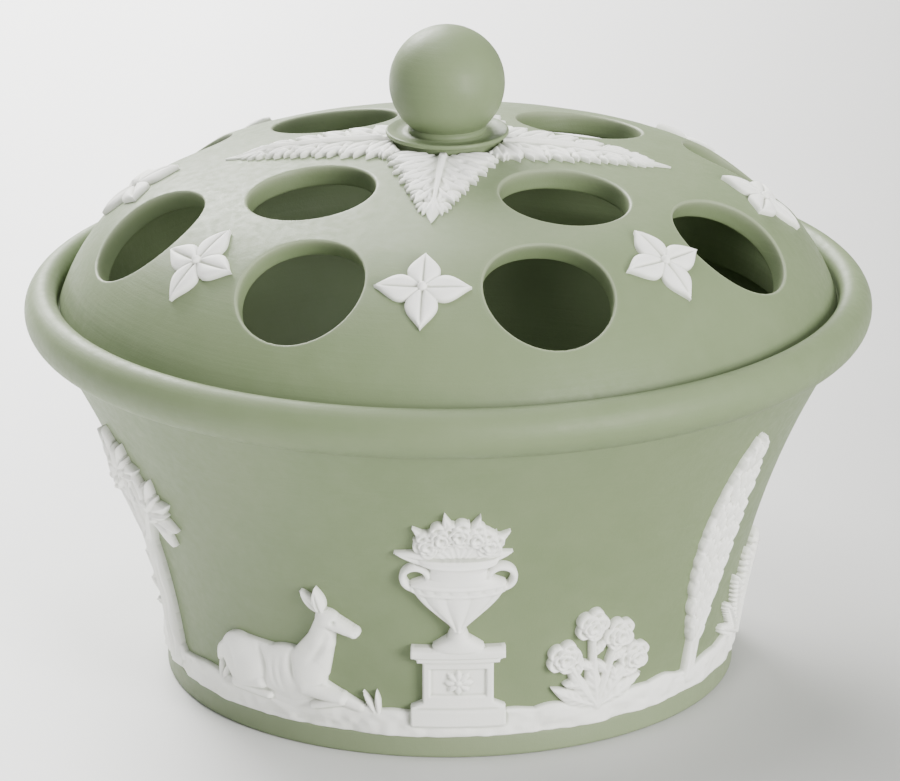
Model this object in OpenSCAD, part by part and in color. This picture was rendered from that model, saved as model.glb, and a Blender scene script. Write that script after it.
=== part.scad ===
// Potpourri vase: a flared stoneware bowl with a rolled rim, under a pierced and domed lid.
// The clay is one colour all through. The white ornaments are sprigs, thin reliefs that are pressed
// in moulds of their own and stuck on with slip, so each is a piece by itself.
// The origin is the middle of the foot, on the table. +Z is up and -Y is the front.

/* [Bowl] */
// Diameter over the rolled rim
rim_d = 140; // [132:1:156]
// Height of the roll's middle above the table
rim_h = 62.3; // [54:0.1:72]
// Radius of the roll's section
roll_r = 4.3; // [3.8:0.1:5]
// Diameter of the foot
foot_d = 95; // [86:0.2:102]
// Height of the plain band at the foot
foot_h = 3.9; // [3:0.1:5]
// How far the foot band stands out from the wall
foot_step = 0.9; // [0.5:0.1:1.5]
// Bevel of the foot band's corners
foot_round = 0.6; // [0.3:0.1:0.8]
// Width of the ring that the foot stands on
foot_ring_w = 6; // [4:0.1:9]
// Depth of the recess inside the foot ring
foot_recess = 2; // [1:0.1:3]
// Radius of the wall's hollow flare, in section
flare_r = 136; // [110:1:240]
// Thickness of the wall
wall = 4.2; // [3.2:0.1:5]
// Thickness of the floor
floor_t = 4.5; // [3:0.1:7]
// Radius of the corner between floor and wall, inside
corner_r = 6; // [3:0.1:9]

/* [Gallery that the lid sits in] */
// Width of the rim outside the gallery
lip_w = 5.4; // [5:0.1:6]
// Radius of the lip's rounded inner side
lip_round = 2.2; // [1.2:0.1:2.6]
// Depth of the gallery below the top of the roll
gallery_h = 4.2; // [3:0.1:4.4]
// Width of the ledge that carries the lid
ledge_w = 4.8; // [4:0.1:5.6]
// Gap round the lid's edge
lid_gap = 0.4; // [0.3:0.1:0.8]

/* [Lid] */
// Height of the crown above the ledge
dome_h = 27.2; // [25:0.1:31]
// Radius of the crown
crown_r = 175; // [150:1:210]
// Radius of the shoulder between crown and edge
shoulder_r = 32.4; // [29:0.2:36]
// Height of the lid's plain edge
edge_h = 0.9; // [0.7:0.1:1.6]
// Bevel at the foot of the edge
edge_bevel = 0.5; // [0.2:0.1:0.6]
// Thickness of the lid
lid_t = 3.6; // [2.8:0.1:4.4]
// Depth of the locating flange below the ledge
flange_h = 4.5; // [3:0.1:5]
// Thickness of the locating flange
flange_t = 2.6; // [2:0.1:3.4]
// Gap between the flange and the bowl's mouth
flange_gap = 1.2; // [0.8:0.1:1.8]

/* [Holes in the lid] */
// Diameter of every hole
hole_d = 21; // [17:0.5:22]
// Number of holes in the outer ring
outer_holes = 8; // [6:1:8]
// Distance of the outer ring from the lid's edge, in plan
outer_inset = 12.5; // [12:0.1:14]
// Number of holes in the inner ring
inner_holes = 4; // [3:1:4]
// Pitch radius of the inner ring
inner_pitch = 29; // [27.5:0.5:30]

/* [Knob] */
// Diameter of the ball
ball_d = 19; // [16:0.2:22]
// How far the ball sinks below the top of the crown, less than 0 where it stands above it
ball_sink = -0.7; // [-1:0.1:1.5]
// Diameter of the collar under the ball
collar_d = 20.2; // [18.6:0.2:24]
// Thickness of the collar's lip
collar_t = 0.8; // [0.6:0.1:1.4]
// Height of the lip's underside above the top of the crown
collar_lift = 1.5; // [1:0.1:2.2]
// How far the lip overhangs the knob's foot
collar_overhang = 1.3; // [1:0.1:1.6]
// Radius of the bead that rings the ball
bead_r = 0.75; // [0.5:0.05:1]

/* [Sprigs] */
// Layer of slip between a sprig and the clay
slip = 0.03; // [0.02:0.01:0.06]
// Thickness of the frieze's sprigs and of the florets
relief = 1.3; // [0.7:0.1:1.6]
// How far the raised parts of a sprig stand above the rest of it
raise = 0.5; // [0.2:0.1:0.8]
// Thickness of the acanthus leaves
leaf_relief = 0.8; // [0.6:0.1:0.9]
// Length of an acanthus leaf
leaf_len = 27.5; // [22:0.5:29]
// Width of an acanthus leaf at its base
leaf_w = 16.5; // [11:0.5:17]
// Gap between an acanthus leaf and the knob's foot
leaf_gap = 0.4; // [0.3:0.1:1]
// Number of lobes on each side of an acanthus leaf
leaf_lobes = 8; // [5:1:10]
// Number of acanthus leaves
leaves = 4; // [3:1:4]
// Width of a floret from tip to tip
floret_span = 15; // [12:0.5:16]
// Width of a floret's petal
petal_w = 5.2; // [4:0.1:5.4]
// Radius of the boss in a floret's middle
boss_r = 1.3; // [0.9:0.1:1.8]
// Number of florets
florets = 8; // [6:1:8]
// Distance of the florets from the lid's edge, in plan
floret_inset = 13.4; // [13:0.1:15]

/* [Frieze] */
// Height of the ground line above the table
ground_h = 7.6; // [6.4:0.1:9]
// Rise and fall of the ground line
ground_wave = 0.6; // [0.1:0.1:0.9]
// Gap between neighbouring sprigs, in degrees
seam = 0.25; // [0.15:0.05:0.6]
// Turn of the frieze about the axis, in degrees
frieze_turn = 6; // [-20:1:20]
// Height of the urn's plinth
plinth_h = 13; // [9:0.5:16]
// Width of the urn's plinth
plinth_w = 15; // [11:0.5:17]
// Width of the urn's bowl
urn_w = 15; // [10:0.5:16]
// Height of the urn, without its flowers
urn_h = 17; // [13:0.5:19]
// Radius of one flower in the urn
flower_r = 2.5; // [1.6:0.1:3]
// Length of the resting hind, from chest to rump
hind_len = 22; // [17:0.5:23]
// Width of the olive tree's trunk at the ground
olive_trunk_w = 4; // [2.6:0.1:5]
// Height of the olive tree's fork
olive_fork = 29; // [22:0.5:30]
// Height of the olive's crown above the fork
olive_crown = 12; // [8:0.5:13]
// How far the olive's side boughs reach
olive_spread = 6.4; // [4:0.1:7]
// Length of an olive leaf
olive_leaf = 8; // [5:0.5:9]
// Height of the cypress
cypress_h = 44; // [32:0.5:46]
// Width of the cypress
cypress_w = 10.5; // [8:0.5:12]
// Height of the cypress's bare trunk
cypress_trunk = 5; // [3:0.5:8]
// Width of the cypress's trunk
cypress_trunk_w = 2.6; // [1.6:0.1:3.4]
// Height of the rose bush's tallest stem
rose_h = 15; // [10:0.5:20]
// How far the rose bush's outer heads stand from its middle
rose_spread = 6.6; // [5:0.1:7.4]
// Width of a rose stem at the root
stem_w = 1.7; // [1:0.1:2.4]
// Radius of one rose
rose_r = 2.9; // [2:0.1:3.2]
// Length of a fern's longest frond
frond_len = 17; // [11:0.5:20]

/* [Hidden] */
$fn = 96;
clay = [0.60, 0.65, 0.54];
white = [0.94, 0.94, 0.91];

// Points and radii that the sizes above fix, as [distance from the axis, height]
rim_r = rim_d / 2;
foot_r = foot_d / 2;
rim_mid = [rim_r - roll_r, rim_h];
ledge_z = rim_h + roll_r - gallery_h;
gallery_r = rim_r - lip_w;
mouth_r = gallery_r - ledge_w;
floor_z = foot_recess + floor_t;
lip_across = gallery_r + lip_round - rim_mid[0];
lip_mid = rim_mid + [lip_across, sqrt(pow(roll_r - lip_round, 2) - lip_across * lip_across)];
wall_foot = [foot_r - foot_step, foot_h];
roll_tuck = 266;
wall_head = rim_mid + roll_r * toward(roll_tuck);
flare_mid = arc_middle(wall_foot, wall_head, flare_r);

edge_r = gallery_r - lid_gap;
crown_z = ledge_z + dome_h;
crown_mid = [0, crown_z - crown_r];
edge_top = [edge_r, ledge_z + edge_h];
shoulder_mid = tangent_middle(crown_mid, crown_r, edge_top, shoulder_r);
join_turn = turn_of(shoulder_mid - crown_mid);
edge_turn = turn_of(edge_top - shoulder_mid);
join_r = crown_r * cos(join_turn);
outer_pitch = edge_r - outer_inset;
floret_pitch = edge_r - floret_inset;

ball_r = ball_d / 2;
ball_mid = crown_z + ball_r - ball_sink;
collar_r = collar_d / 2;
knob_foot_r = collar_r - collar_overhang;
leaf_start = knob_foot_r + leaf_gap;

// The frieze: one run of designs that fills half the way round, with the angle that each takes
designs = ["urn", "rose_bush", "cypress", "fern", "olive", "hind"];
spans = [30, 26, 24, 28, 34, 38];
runs = 2;
prism_depth = rim_r;

// Points that a design's outline shares with its raised parts, as [across, height above the table]
plinth_step = plinth_h / 7;
plinth_top = ground_h + plinth_h;
urn_stem_top = plinth_top + urn_h * 0.24;
urn_shoulder_z = plinth_top + urn_h * 0.74;
urn_lip_z = plinth_top + urn_h;
sprays = [26, 58, 90, 122, 154];
olive_root = [-olive_trunk_w * 0.3, ground_h - olive_trunk_w / 4];
olive_top = [olive_trunk_w * 0.15, olive_fork];
boughs = [
    [[-olive_spread * 0.84, olive_fork + olive_crown * 0.58], 118],
    [[olive_spread * 0.12, olive_fork + olive_crown], 88],
    [[olive_spread, olive_fork + olive_crown * 0.53], 58]
];
flame = cypress_h - cypress_trunk;
tuft_rows = 7;
rose_heads = [for (head = [[-1, 0.62], [-0.36, 0.98], [0.44, 0.8], [1, 0.46]])
    [rose_spread * head[0], ground_h + rose_h * head[1]]];
rose_root = [0, ground_h - stem_w / 3];
rose_leaves = [20, 52, 100, 131, 158];
fronds = 9;

// How finely the curves of the bowl's and the lid's sections are drawn
corner_steps = 8;
flare_steps = 14;
lip_steps = 12;
crown_steps = 10;
shoulder_steps = 16;

// Geometry helpers

function toward(turn) = [cos(turn), sin(turn)];
function turn_of(v) = atan2(v[1], v[0]);
function sum_to(list, n) = n <= 0 ? 0 : list[n - 1] + sum_to(list, n - 1);

// Middle of the circle of radius r that passes through a and b, on the outer side of the line up from a to b
function arc_middle(a, b, r) =
    let (half = norm(b - a) / 2, along = (b - a) / (2 * half))
    (a + b) / 2 + sqrt(r * r - half * half) * [along[1], -along[0]];

// Middle of the circle of radius r that touches the big circle from inside and passes through p
function tangent_middle(big_mid, big_r, p, r) =
    let (
        d = norm(p - big_mid),
        reach = big_r - r,
        along = (p - big_mid) / d,
        a = (reach * reach - r * r + d * d) / (2 * d),
        h = sqrt(reach * reach - a * a)
    )
    big_mid + a * along + h * [-along[1], along[0]];

// Height of the lid's outer face and its lean from upright, at a distance from the axis
function dome_z(r) = r <= join_r
    ? crown_mid[1] + sqrt(crown_r * crown_r - r * r)
    : shoulder_mid[1] + sqrt(shoulder_r * shoulder_r - pow(r - shoulder_mid[0], 2));
function dome_lean(r) = r <= join_r ? asin(r / crown_r) : asin((r - shoulder_mid[0]) / shoulder_r);

// Part of a ring, or of a disc if inner is 0, between two turns about its middle
module arc_band(mid, outer, inner, from, to) {
    far = 3 * outer;
    translate(mid) intersection() {
        difference() {
            circle(outer, $fn = 360);
            if (inner > 0) circle(inner, $fn = 360);
        }
        polygon([[0, 0], far * toward(from), far * toward((from + to) / 2), far * toward(to)]);
    }
}

// Points along an arc, from one turn about its middle to another
function arc_points(mid, r, from, to, steps) =
    [for (i = [0:steps]) mid + r * toward(from + (to - from) * i / steps)];

// Middle of the flower at a turn of the urn's spray
function flower_at(spray) = [flower_r * 2.1 * cos(spray), urn_lip_z + flower_r * (0.6 + 1.5 * sin(spray))];

// The lid's face, or a face at a distance outside it, from the edge up to the axis and back
function dome_up(out) = concat(
    arc_points(shoulder_mid, shoulder_r + out, edge_turn, join_turn, shoulder_steps),
    [for (i = [1:crown_steps])
        crown_mid + (crown_r + out) * toward(join_turn + (90 - join_turn) * i / crown_steps)]
);
function reversed(list) = [for (i = [len(list) - 1:-1:0]) list[i]];

// A pointed leaf from the origin along +X: two arcs that meet at both ends
module leaf_shape(long, w) {
    r = (long * long + w * w) / (4 * w);
    intersection() {
        translate([long / 2, w / 2 - r]) circle(r);
        translate([long / 2, r - w / 2]) circle(r);
    }
}

// A straight stem that tapers from width w0 at a to width w1 at b
module stem_shape(a, b, w0, w1) {
    side = [a[1] - b[1], b[0] - a[0]] / norm(b - a) / 2;
    polygon([a - w0 * side, b - w1 * side, b + w1 * side, a + w0 * side]);
}

// Bowl

// The hollow inside: wall at one thickness, rounded into the floor, with an upright mouth
module cavity_section() {
    inner_r = flare_r + wall;
    corner_z = floor_z + corner_r;
    corner_mid = [flare_mid[0] - sqrt(pow(inner_r + corner_r, 2) - pow(flare_mid[1] - corner_z, 2)), corner_z];
    corner_end = flare_mid + (corner_mid - flare_mid) * inner_r / (inner_r + corner_r);
    mouth_end = [mouth_r, flare_mid[1] + sqrt(inner_r * inner_r - pow(flare_mid[0] - mouth_r, 2))];
    over = ledge_z + 1;
    corner_turn = turn_of(corner_end - flare_mid);
    flare_turn = turn_of(mouth_end - flare_mid) - corner_turn;
    polygon(concat(
        [[0, floor_z]],
        arc_points(corner_mid, corner_r, -90, turn_of(corner_end - corner_mid), corner_steps),
        [for (i = [1:flare_steps]) flare_mid + inner_r * toward(corner_turn + flare_turn * i / flare_steps)],
        [[mouth_r, over], [0, over]]
    ));
}

// What is cut away over the ledge: the gallery, with the rounded inner side of the lip
module gallery_section() {
    touch = turn_of(lip_mid - rim_mid);
    over = rim_h + 3 * roll_r;
    polygon(concat(
        [[0, ledge_z], [gallery_r, ledge_z]],
        arc_points(lip_mid, lip_round, 180, touch, lip_steps),
        [rim_mid + 2 * roll_r * toward(touch), [gallery_r, over], [0, over]]
    ));
}

module bowl_section() {
    ring_r = foot_r - foot_ring_w;
    difference() {
        union() {
            polygon([
                [0, 0], [foot_r - foot_round, 0], [foot_r, foot_round],
                [foot_r, foot_h - foot_round / 2], [foot_r - foot_round / 2, foot_h], [0, foot_h]
            ]);
            difference() {
                polygon([
                    [0, foot_h / 2], [wall_foot[0], foot_h / 2], wall_foot, wall_head, rim_mid, [0, rim_h]
                ]);
                translate(flare_mid) circle(flare_r, $fn = 360);
            }
            translate(rim_mid) circle(roll_r);
        }
        cavity_section();
        gallery_section();
        polygon([[0, -1], [ring_r + 1, -1], [ring_r - foot_recess, foot_recess], [0, foot_recess]]);
    }
}

module bowl() {
    color(clay) rotate_extrude() bowl_section();
}

// Lid

// The layer between two distances from the lid's outer face, from the axis out to the edge
module dome_layer(out, in) {
    polygon(concat(dome_up(out), reversed(dome_up(in))));
}

// The dome and its foot: a plain edge, a flat seat on the ledge and a flange that keeps it in the mouth
module lid_section() {
    flange_out = mouth_r - flange_gap;
    flange_in = flange_out - flange_t;
    inside_foot = 14;
    inside = arc_points(shoulder_mid, shoulder_r - lid_t, join_turn, edge_turn + inside_foot, shoulder_steps);
    polygon(concat(
        [[flange_in, ledge_z - flange_h], [flange_out, ledge_z - flange_h], [flange_out, ledge_z],
         [edge_r - edge_bevel, ledge_z], [edge_r, ledge_z + edge_bevel]],
        dome_up(0),
        arc_points(crown_mid, crown_r - lid_t, 90, join_turn, crown_steps),
        [for (i = [1:shoulder_steps]) inside[i]],
        [[flange_in, ledge_z - flange_h / 4]]
    ));
}

// One hole, bored square to the dome at a distance from the axis
module bored(pitch, turn) {
    rotate([0, 0, turn])
        translate([0, -pitch, dome_z(pitch)])
            rotate([dome_lean(pitch), 0, 0])
                translate([0, 0, -3 * lid_t]) cylinder(d = hole_d, h = 6 * lid_t);
}

module lid() {
    color(clay) difference() {
        rotate_extrude() lid_section();
        for (i = [0:outer_holes - 1]) bored(outer_pitch, (i + 0.5) * 360 / outer_holes);
        for (i = [0:inner_holes - 1]) bored(inner_pitch, (i + 0.5) * 360 / inner_holes);
    }
}

// A ball on a saucer-shaped collar, cut underneath to sit on the crown
module knob() {
    lip = crown_z + collar_lift;
    dish = collar_t / 2;
    bead_mid = [sqrt(pow(ball_r + bead_r / 3, 2) - pow(ball_mid - lip - collar_t, 2)), lip + collar_t];
    color(clay) rotate_extrude() difference() {
        union() {
            intersection() {
                translate([0, ball_mid]) circle(ball_r);
                translate([0, crown_z - ball_r]) square([2 * ball_r, 4 * ball_r]);
            }
            polygon([
                [0, crown_mid[1]], [knob_foot_r, crown_mid[1]], [knob_foot_r, lip],
                [collar_r - collar_t / 4, lip], [collar_r, lip + collar_t / 3],
                [collar_r, lip + collar_t * 0.8], [collar_r - collar_t / 3, lip + collar_t],
                [knob_foot_r, lip + collar_t - dish], [0, lip + collar_t - dish]
            ]);
            translate(bead_mid) circle(bead_r);
        }
        translate(crown_mid) circle(crown_r + slip);
    }
}

// Sprigs on the lid

// Half the width of an acanthus leaf over its lobes, at a share of its length
function leaf_reach(t) = leaf_w / 2 * pow(1 - t, 0.8) * (1 - 0.12 * pow(1 - t, 8));

// Saw-toothed leaf along -Y: each lobe runs forward from a notch to its point
module acanthus_shape() {
    notch = 0.66;
    half = [for (i = [0:leaf_lobes - 1], tip = [0, 1])
        let (t = (i + (tip ? 0.9 : 0)) / leaf_lobes)
        [leaf_reach(t) * (tip ? 1 : notch), -leaf_start - t * leaf_len]];
    point = [0, -leaf_start - leaf_len];
    last = len(half) - 1;
    polygon(concat(half, [point], [for (i = [0:last]) [-half[last - i][0], half[last - i][1]]]));
}

// Raised ribs of an acanthus leaf, outside the collar: one along the middle and one into each lobe
module acanthus_ribs() {
    rib_start = collar_r + leaf_gap;
    stem_shape([0, -rib_start], [0, -leaf_start - leaf_len * 0.95], leaf_w * 0.13, leaf_w * 0.03);
    for (i = [1:leaf_lobes - 1], side = [-1, 1]) let (root = i / leaf_lobes, tip = (i + 0.78) / leaf_lobes)
        if (leaf_start + root * leaf_len > rib_start)
            stem_shape([0, -leaf_start - root * leaf_len],
                [side * leaf_reach(tip) * 0.82, -leaf_start - tip * leaf_len], leaf_w * 0.07, leaf_w * 0.03);
}

module acanthus_leaf(i) {
    color(white) rotate([0, 0, (i - 1) * 360 / leaves]) {
        intersection() {
            rotate([0, 0, -135]) rotate_extrude(angle = 90) dome_layer(slip + leaf_relief, slip);
            translate([0, 0, crown_mid[1]]) linear_extrude(2 * crown_r) acanthus_shape();
        }
        intersection() {
            rotate([0, 0, -135]) rotate_extrude(angle = 90)
                dome_layer(slip + leaf_relief + raise, slip + leaf_relief / 2);
            translate([0, 0, crown_mid[1]]) linear_extrude(2 * crown_r) acanthus_ribs();
        }
    }
}

// Four pointed petals
module floret_shape() {
    tuck = petal_w / 13;
    for (k = [0:3]) rotate(90 * k) translate([-tuck, 0]) leaf_shape(floret_span / 2 + tuck, petal_w);
}

// Groove along the middle of each petal, from the boss out
module floret_grooves() {
    for (k = [0:3]) rotate(90 * k)
        stem_shape([boss_r / 2, 0], [floret_span * 0.42, 0], petal_w * 0.18, petal_w * 0.06);
}

// The layer between two distances from the dome that a flat drawing covers, square to the dome at a floret
module floret_layer(out, in) {
    intersection() {
        rotate([0, 0, -115]) rotate_extrude(angle = 50) dome_layer(out, in);
        translate([0, -floret_pitch, dome_z(floret_pitch)])
            rotate([dome_lean(floret_pitch), 0, 0])
                translate([0, 0, -floret_span / 2]) linear_extrude(floret_span) children();
    }
}

module floret(i) {
    top = slip + relief;
    color(white) rotate([0, 0, (i - 1) * 360 / florets]) {
        difference() {
            floret_layer(top, slip) floret_shape();
            floret_layer(top + raise, top - raise / 2) floret_grooves();
        }
        floret_layer(top + raise, slip + relief / 2) circle(boss_r);
    }
}

// Sprigs on the bowl: each outline is drawn as seen from the front, with Y as the height above the table

// Strip of ground under one design, with a gently rolling top that meets its neighbours level
module ground_shape(span) {
    half = foot_r * sin(span / 2) * 1.2;
    steps = 12;
    polygon(concat(
        [[-half, foot_h + slip], [half, foot_h + slip]],
        [for (i = [steps:-1:0]) let (t = i / steps)
            [half * (2 * t - 1), ground_h + ground_wave * (sin(540 * t) + sin(180 * t))]]
    ));
}

// Two-handled urn with flowers, on a moulded plinth
module urn_shape() {
    side = [
        [plinth_w / 2, ground_h - plinth_step], [plinth_w / 2, ground_h + plinth_step],
        [plinth_w / 2 - plinth_step, ground_h + 1.5 * plinth_step],
        [plinth_w / 2 - plinth_step, plinth_top - 1.5 * plinth_step],
        [plinth_w / 2, plinth_top - plinth_step], [plinth_w / 2, plinth_top],
        [urn_w * 0.27, plinth_top], [urn_w * 0.25, plinth_top + plinth_step / 2],
        each [for (t = [0:0.125:1])
            [urn_w * (0.07 + 0.43 * pow(sin(90 * t), 1.2)),
             urn_stem_top + (urn_shoulder_z - urn_stem_top) * t]],
        [urn_w * 0.32, urn_shoulder_z + urn_h * 0.07], [urn_w * 0.29, urn_lip_z - urn_h * 0.1],
        [urn_w * 0.42, urn_lip_z]
    ];
    polygon(concat(side, [for (p = reversed(side)) [-p[0], p[1]]]));
    for (way = [-1, 1]) translate([way * urn_w * 0.45, urn_shoulder_z + urn_h * 0.05]) difference() {
        circle(urn_w * 0.17);
        circle(urn_w * 0.1);
    }
    for (spray = sprays) {
        translate(flower_at(spray)) circle(flower_r);
        translate([0, urn_lip_z - flower_r / 2]) rotate(spray + 13) leaf_shape(flower_r * 4.4, flower_r * 0.9);
    }
}

// Mouldings and a boss on the plinth, gadroons and a band on the urn, and the flowers' hearts
module urn_raised() {
    for (z = [ground_h, plinth_top - plinth_step * 0.85])
        translate([-plinth_w * 0.47, z]) square([plinth_w * 0.94, plinth_step * 0.7]);
    translate([0, ground_h + plinth_h / 2]) circle(plinth_step * 1.2);
    for (k = [-2:2]) translate([k * urn_w * 0.05, urn_stem_top])
        rotate(90 - 9 * k) leaf_shape((urn_shoulder_z - urn_stem_top) * 0.9, urn_w * 0.13);
    translate([-urn_w * 0.43, urn_shoulder_z - urn_h * 0.05]) square([urn_w * 0.86, urn_h * 0.07]);
    for (spray = sprays) translate(flower_at(spray)) circle(flower_r * 0.5);
}

// Place and size of the hind, whose body is drawn 22 long
module hind_place() {
    s = hind_len / 22;
    translate([-1.2 * s, ground_h - 0.4 * s]) scale(s) children();
}

// Hind at rest with folded legs, looking to the right
module hind_shape() {
    hind_place() {
        hull() {
            translate([-8, 5.6]) circle(5);
            translate([5.2, 5.8]) circle(4.4);
        }
        hull() {
            translate([6.4, 7.6]) circle(3.1);
            translate([9.8, 16]) circle(1.8);
        }
        hull() {
            translate([9.9, 17]) circle(2.1);
            translate([14, 15.4]) circle(1);
        }
        hull() {
            translate([6.4, 2.6]) circle(1.5);
            translate([12, 1]) circle(0.9);
        }
        hull() {
            translate([-5, 1]) circle(1.1);
            translate([2.6, 0.8]) circle(0.8);
        }
        for (ear = [86, 122]) translate([8.9, 18]) rotate(ear) leaf_shape(4.6, 1.8);
        translate([-12.2, 7.4]) rotate(-118) leaf_shape(4.4, 2);
    }
}

// The hind's haunch, shoulder and cheek
module hind_raised() {
    hind_place() {
        translate([-8.2, 5.2]) circle(3.9);
        hull() {
            translate([4.8, 5.2]) circle(3);
            translate([6.8, 9.4]) circle(1.7);
        }
        hull() {
            translate([10.2, 16.8]) circle(1.3);
            translate([13, 15.7]) circle(0.6);
        }
    }
}

// Forked trunk with a fan of narrow leaves at each branch end
module olive_shape() {
    stem_shape(olive_root, olive_top, olive_trunk_w, olive_trunk_w * 0.6);
    for (bough = boughs) {
        stem_shape(olive_top - [0, olive_trunk_w / 5], bough[0], olive_trunk_w / 2, olive_trunk_w * 0.28);
        olive_fan(bough) leaf_shape(olive_leaf, olive_leaf * 0.3);
    }
}

// Seven copies of a leaf round the end of a bough, smaller to the sides
module olive_fan(bough) {
    for (k = [-3:3]) translate(bough[0]) rotate(bough[1] + 34 * k) scale(1 - 0.05 * abs(k)) children();
}

// A ridge up the trunk and one along each leaf
module olive_raised() {
    stem_shape(olive_root + [0, olive_trunk_w], olive_top - [0, olive_trunk_w],
        olive_trunk_w * 0.4, olive_trunk_w * 0.2);
    for (bough = boughs) olive_fan(bough)
        translate([olive_leaf * 0.25, 0]) leaf_shape(olive_leaf * 0.6, olive_leaf * 0.1);
}

// Tall flame of close foliage on a short trunk
module cypress_shape() {
    stem_shape([0, ground_h - cypress_trunk / 5], [0, ground_h + cypress_trunk * 1.8],
        cypress_trunk_w, cypress_trunk_w * 0.7);
    translate([0, ground_h + cypress_trunk]) {
        rotate(90) leaf_shape(flame, cypress_w * 0.86);
        cypress_tufts(0.3, 24) leaf_shape(flame / 6, cypress_w * 0.24);
    }
}

// Copies of a tuft in pairs up both sides, at a share of the width from the middle and leaning out
module cypress_tufts(aside, lean) {
    for (i = [0:tuft_rows - 1], side = [-1, 1]) let (t = (i + 0.6) / (tuft_rows + 0.8))
        translate([side * cypress_w * aside * sin(180 * t), flame * t]) rotate(90 - side * lean) children();
}

// Tufts that overlap like tiles, two pairs to a row
module cypress_raised() {
    translate([0, ground_h + cypress_trunk]) {
        cypress_tufts(0.27, 20) leaf_shape(flame / 7, cypress_w * 0.16);
        cypress_tufts(0.1, 8) leaf_shape(flame / 7, cypress_w * 0.16);
    }
}

// Low bush with open roses on short stems
module rose_bush_shape() {
    for (head = rose_heads) {
        stem_shape(rose_root, head, stem_w, stem_w * 0.6);
        translate(head) circle(rose_r);
    }
    for (leaf = rose_leaves) translate(rose_root) rotate(leaf) leaf_shape(rose_h * 0.62, stem_w * 1.5);
}

// A ring of petals round each heart, and a ridge along each leaf
module rose_bush_raised() {
    for (head = rose_heads) translate(head) {
        difference() {
            circle(rose_r * 0.8);
            circle(rose_r * 0.56);
        }
        circle(rose_r * 0.32);
    }
    for (leaf = rose_leaves) translate(rose_root) rotate(leaf)
        translate([rose_h * 0.2, 0]) leaf_shape(rose_h * 0.36, stem_w * 0.4);
}

// Copies of an upright frond in a clump, shorter to the sides
module fern_clump() {
    for (i = [0:fronds - 1]) let (lean = 22 + 136 * i / (fronds - 1), upright = sin(lean))
        translate([0, ground_h - frond_len / 20]) rotate(lean)
            scale(0.62 + 0.38 * upright * upright) children();
}

// Clump of arching fronds
module fern_shape() {
    fern_clump() leaf_shape(frond_len, frond_len * 0.17);
}

// A ridge along each frond
module fern_raised() {
    fern_clump() translate([frond_len * 0.32, 0]) leaf_shape(frond_len * 0.6, frond_len * 0.055);
}

// The layer between two distances from the wall that a drawing covers, inside a share of the round
module wall_layer(out, in, span) {
    intersection() {
        rotate([0, 0, -90 - (span - seam) / 2]) rotate_extrude(angle = span - seam)
            arc_band(flare_mid, flare_r - in, flare_r - out,
                turn_of(wall_head - flare_mid), turn_of(wall_foot - flare_mid));
        rotate([90, 0, 0]) linear_extrude(prism_depth) children();
    }
}

// One sprig: its outline with the ground under it, and then the parts that stand higher
module sprig(i, run) {
    span = spans[i];
    middle = frieze_turn + sum_to(spans, i) + span / 2 - spans[0] / 2 + (run - 1) * 360 / runs;
    color(white) rotate([0, 0, middle]) {
        wall_layer(slip + relief, slip, span) {
            ground_shape(span);
            children(0);
        }
        wall_layer(slip + relief + raise, slip + relief / 2, span) children(1);
    }
}

bowl();
lid();
knob();
for (i = [1:leaves]) acanthus_leaf(i);
for (i = [1:florets]) floret(i);
for (k = [1:runs]) {
    sprig(0, k) { urn_shape(); urn_raised(); }
    sprig(1, k) { rose_bush_shape(); rose_bush_raised(); }
    sprig(2, k) { cypress_shape(); cypress_raised(); }
    sprig(3, k) { fern_shape(); fern_raised(); }
    sprig(4, k) { olive_shape(); olive_raised(); }
    sprig(5, k) { hind_shape(); hind_raised(); }
}
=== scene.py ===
"""A lidded potpourri vase in matte green stoneware with white moulded reliefs.

Every size below is in millimetres in the frame of the CAD part, and only the mesh makers turn millimetres
into metres. The bowl, lid and knob are turned surfaces. Each relief is a height over a drawing plane, cut to
its outline and wrapped on the clay behind it.
"""

import logging
import math
from abc import ABC, abstractmethod
from collections.abc import Callable
from dataclasses import dataclass, field
from enum import Enum
from typing import ClassVar

import bmesh
import bpy
import numpy as np
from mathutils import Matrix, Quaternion, Vector
from mathutils.geometry import delaunay_2d_cdt
from numpy.typing import NDArray


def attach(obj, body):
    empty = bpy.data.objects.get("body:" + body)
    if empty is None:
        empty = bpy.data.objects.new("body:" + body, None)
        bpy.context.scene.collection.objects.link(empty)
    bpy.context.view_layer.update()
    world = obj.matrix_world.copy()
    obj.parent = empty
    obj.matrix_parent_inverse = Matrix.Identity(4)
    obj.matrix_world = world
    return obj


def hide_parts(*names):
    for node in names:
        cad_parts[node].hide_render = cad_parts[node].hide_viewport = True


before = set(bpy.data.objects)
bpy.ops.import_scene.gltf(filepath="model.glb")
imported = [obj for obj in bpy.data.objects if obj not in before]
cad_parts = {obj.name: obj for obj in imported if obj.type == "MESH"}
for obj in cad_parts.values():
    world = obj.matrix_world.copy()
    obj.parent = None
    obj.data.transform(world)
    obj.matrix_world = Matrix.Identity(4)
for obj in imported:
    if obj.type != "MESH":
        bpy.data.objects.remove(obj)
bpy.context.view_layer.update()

Array = NDArray[np.float64]
Point = tuple[float, float]
Triple = tuple[float, float, float]
Box = tuple[float, float, float, float]
Colour = tuple[float, float, float, float]
Socket = bpy.types.NodeSocket
Fed = Socket | float | Triple | Colour

MM = 0.001
# Layer of slip under a sprig, gap round the lid's edge, and middle height of the frieze's ground
SLIP_T = 0.03
LID_GAP = 0.4
GROUND_H = 7.6
# Height of a relief's edge, its root's depth in the clay, and the spacing of the net behind it
EDGE_H = 0.3
ROOT_DEPTH = 0.3
NET_CELL = 1.6

LOG = logging.getLogger("vase")


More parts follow.
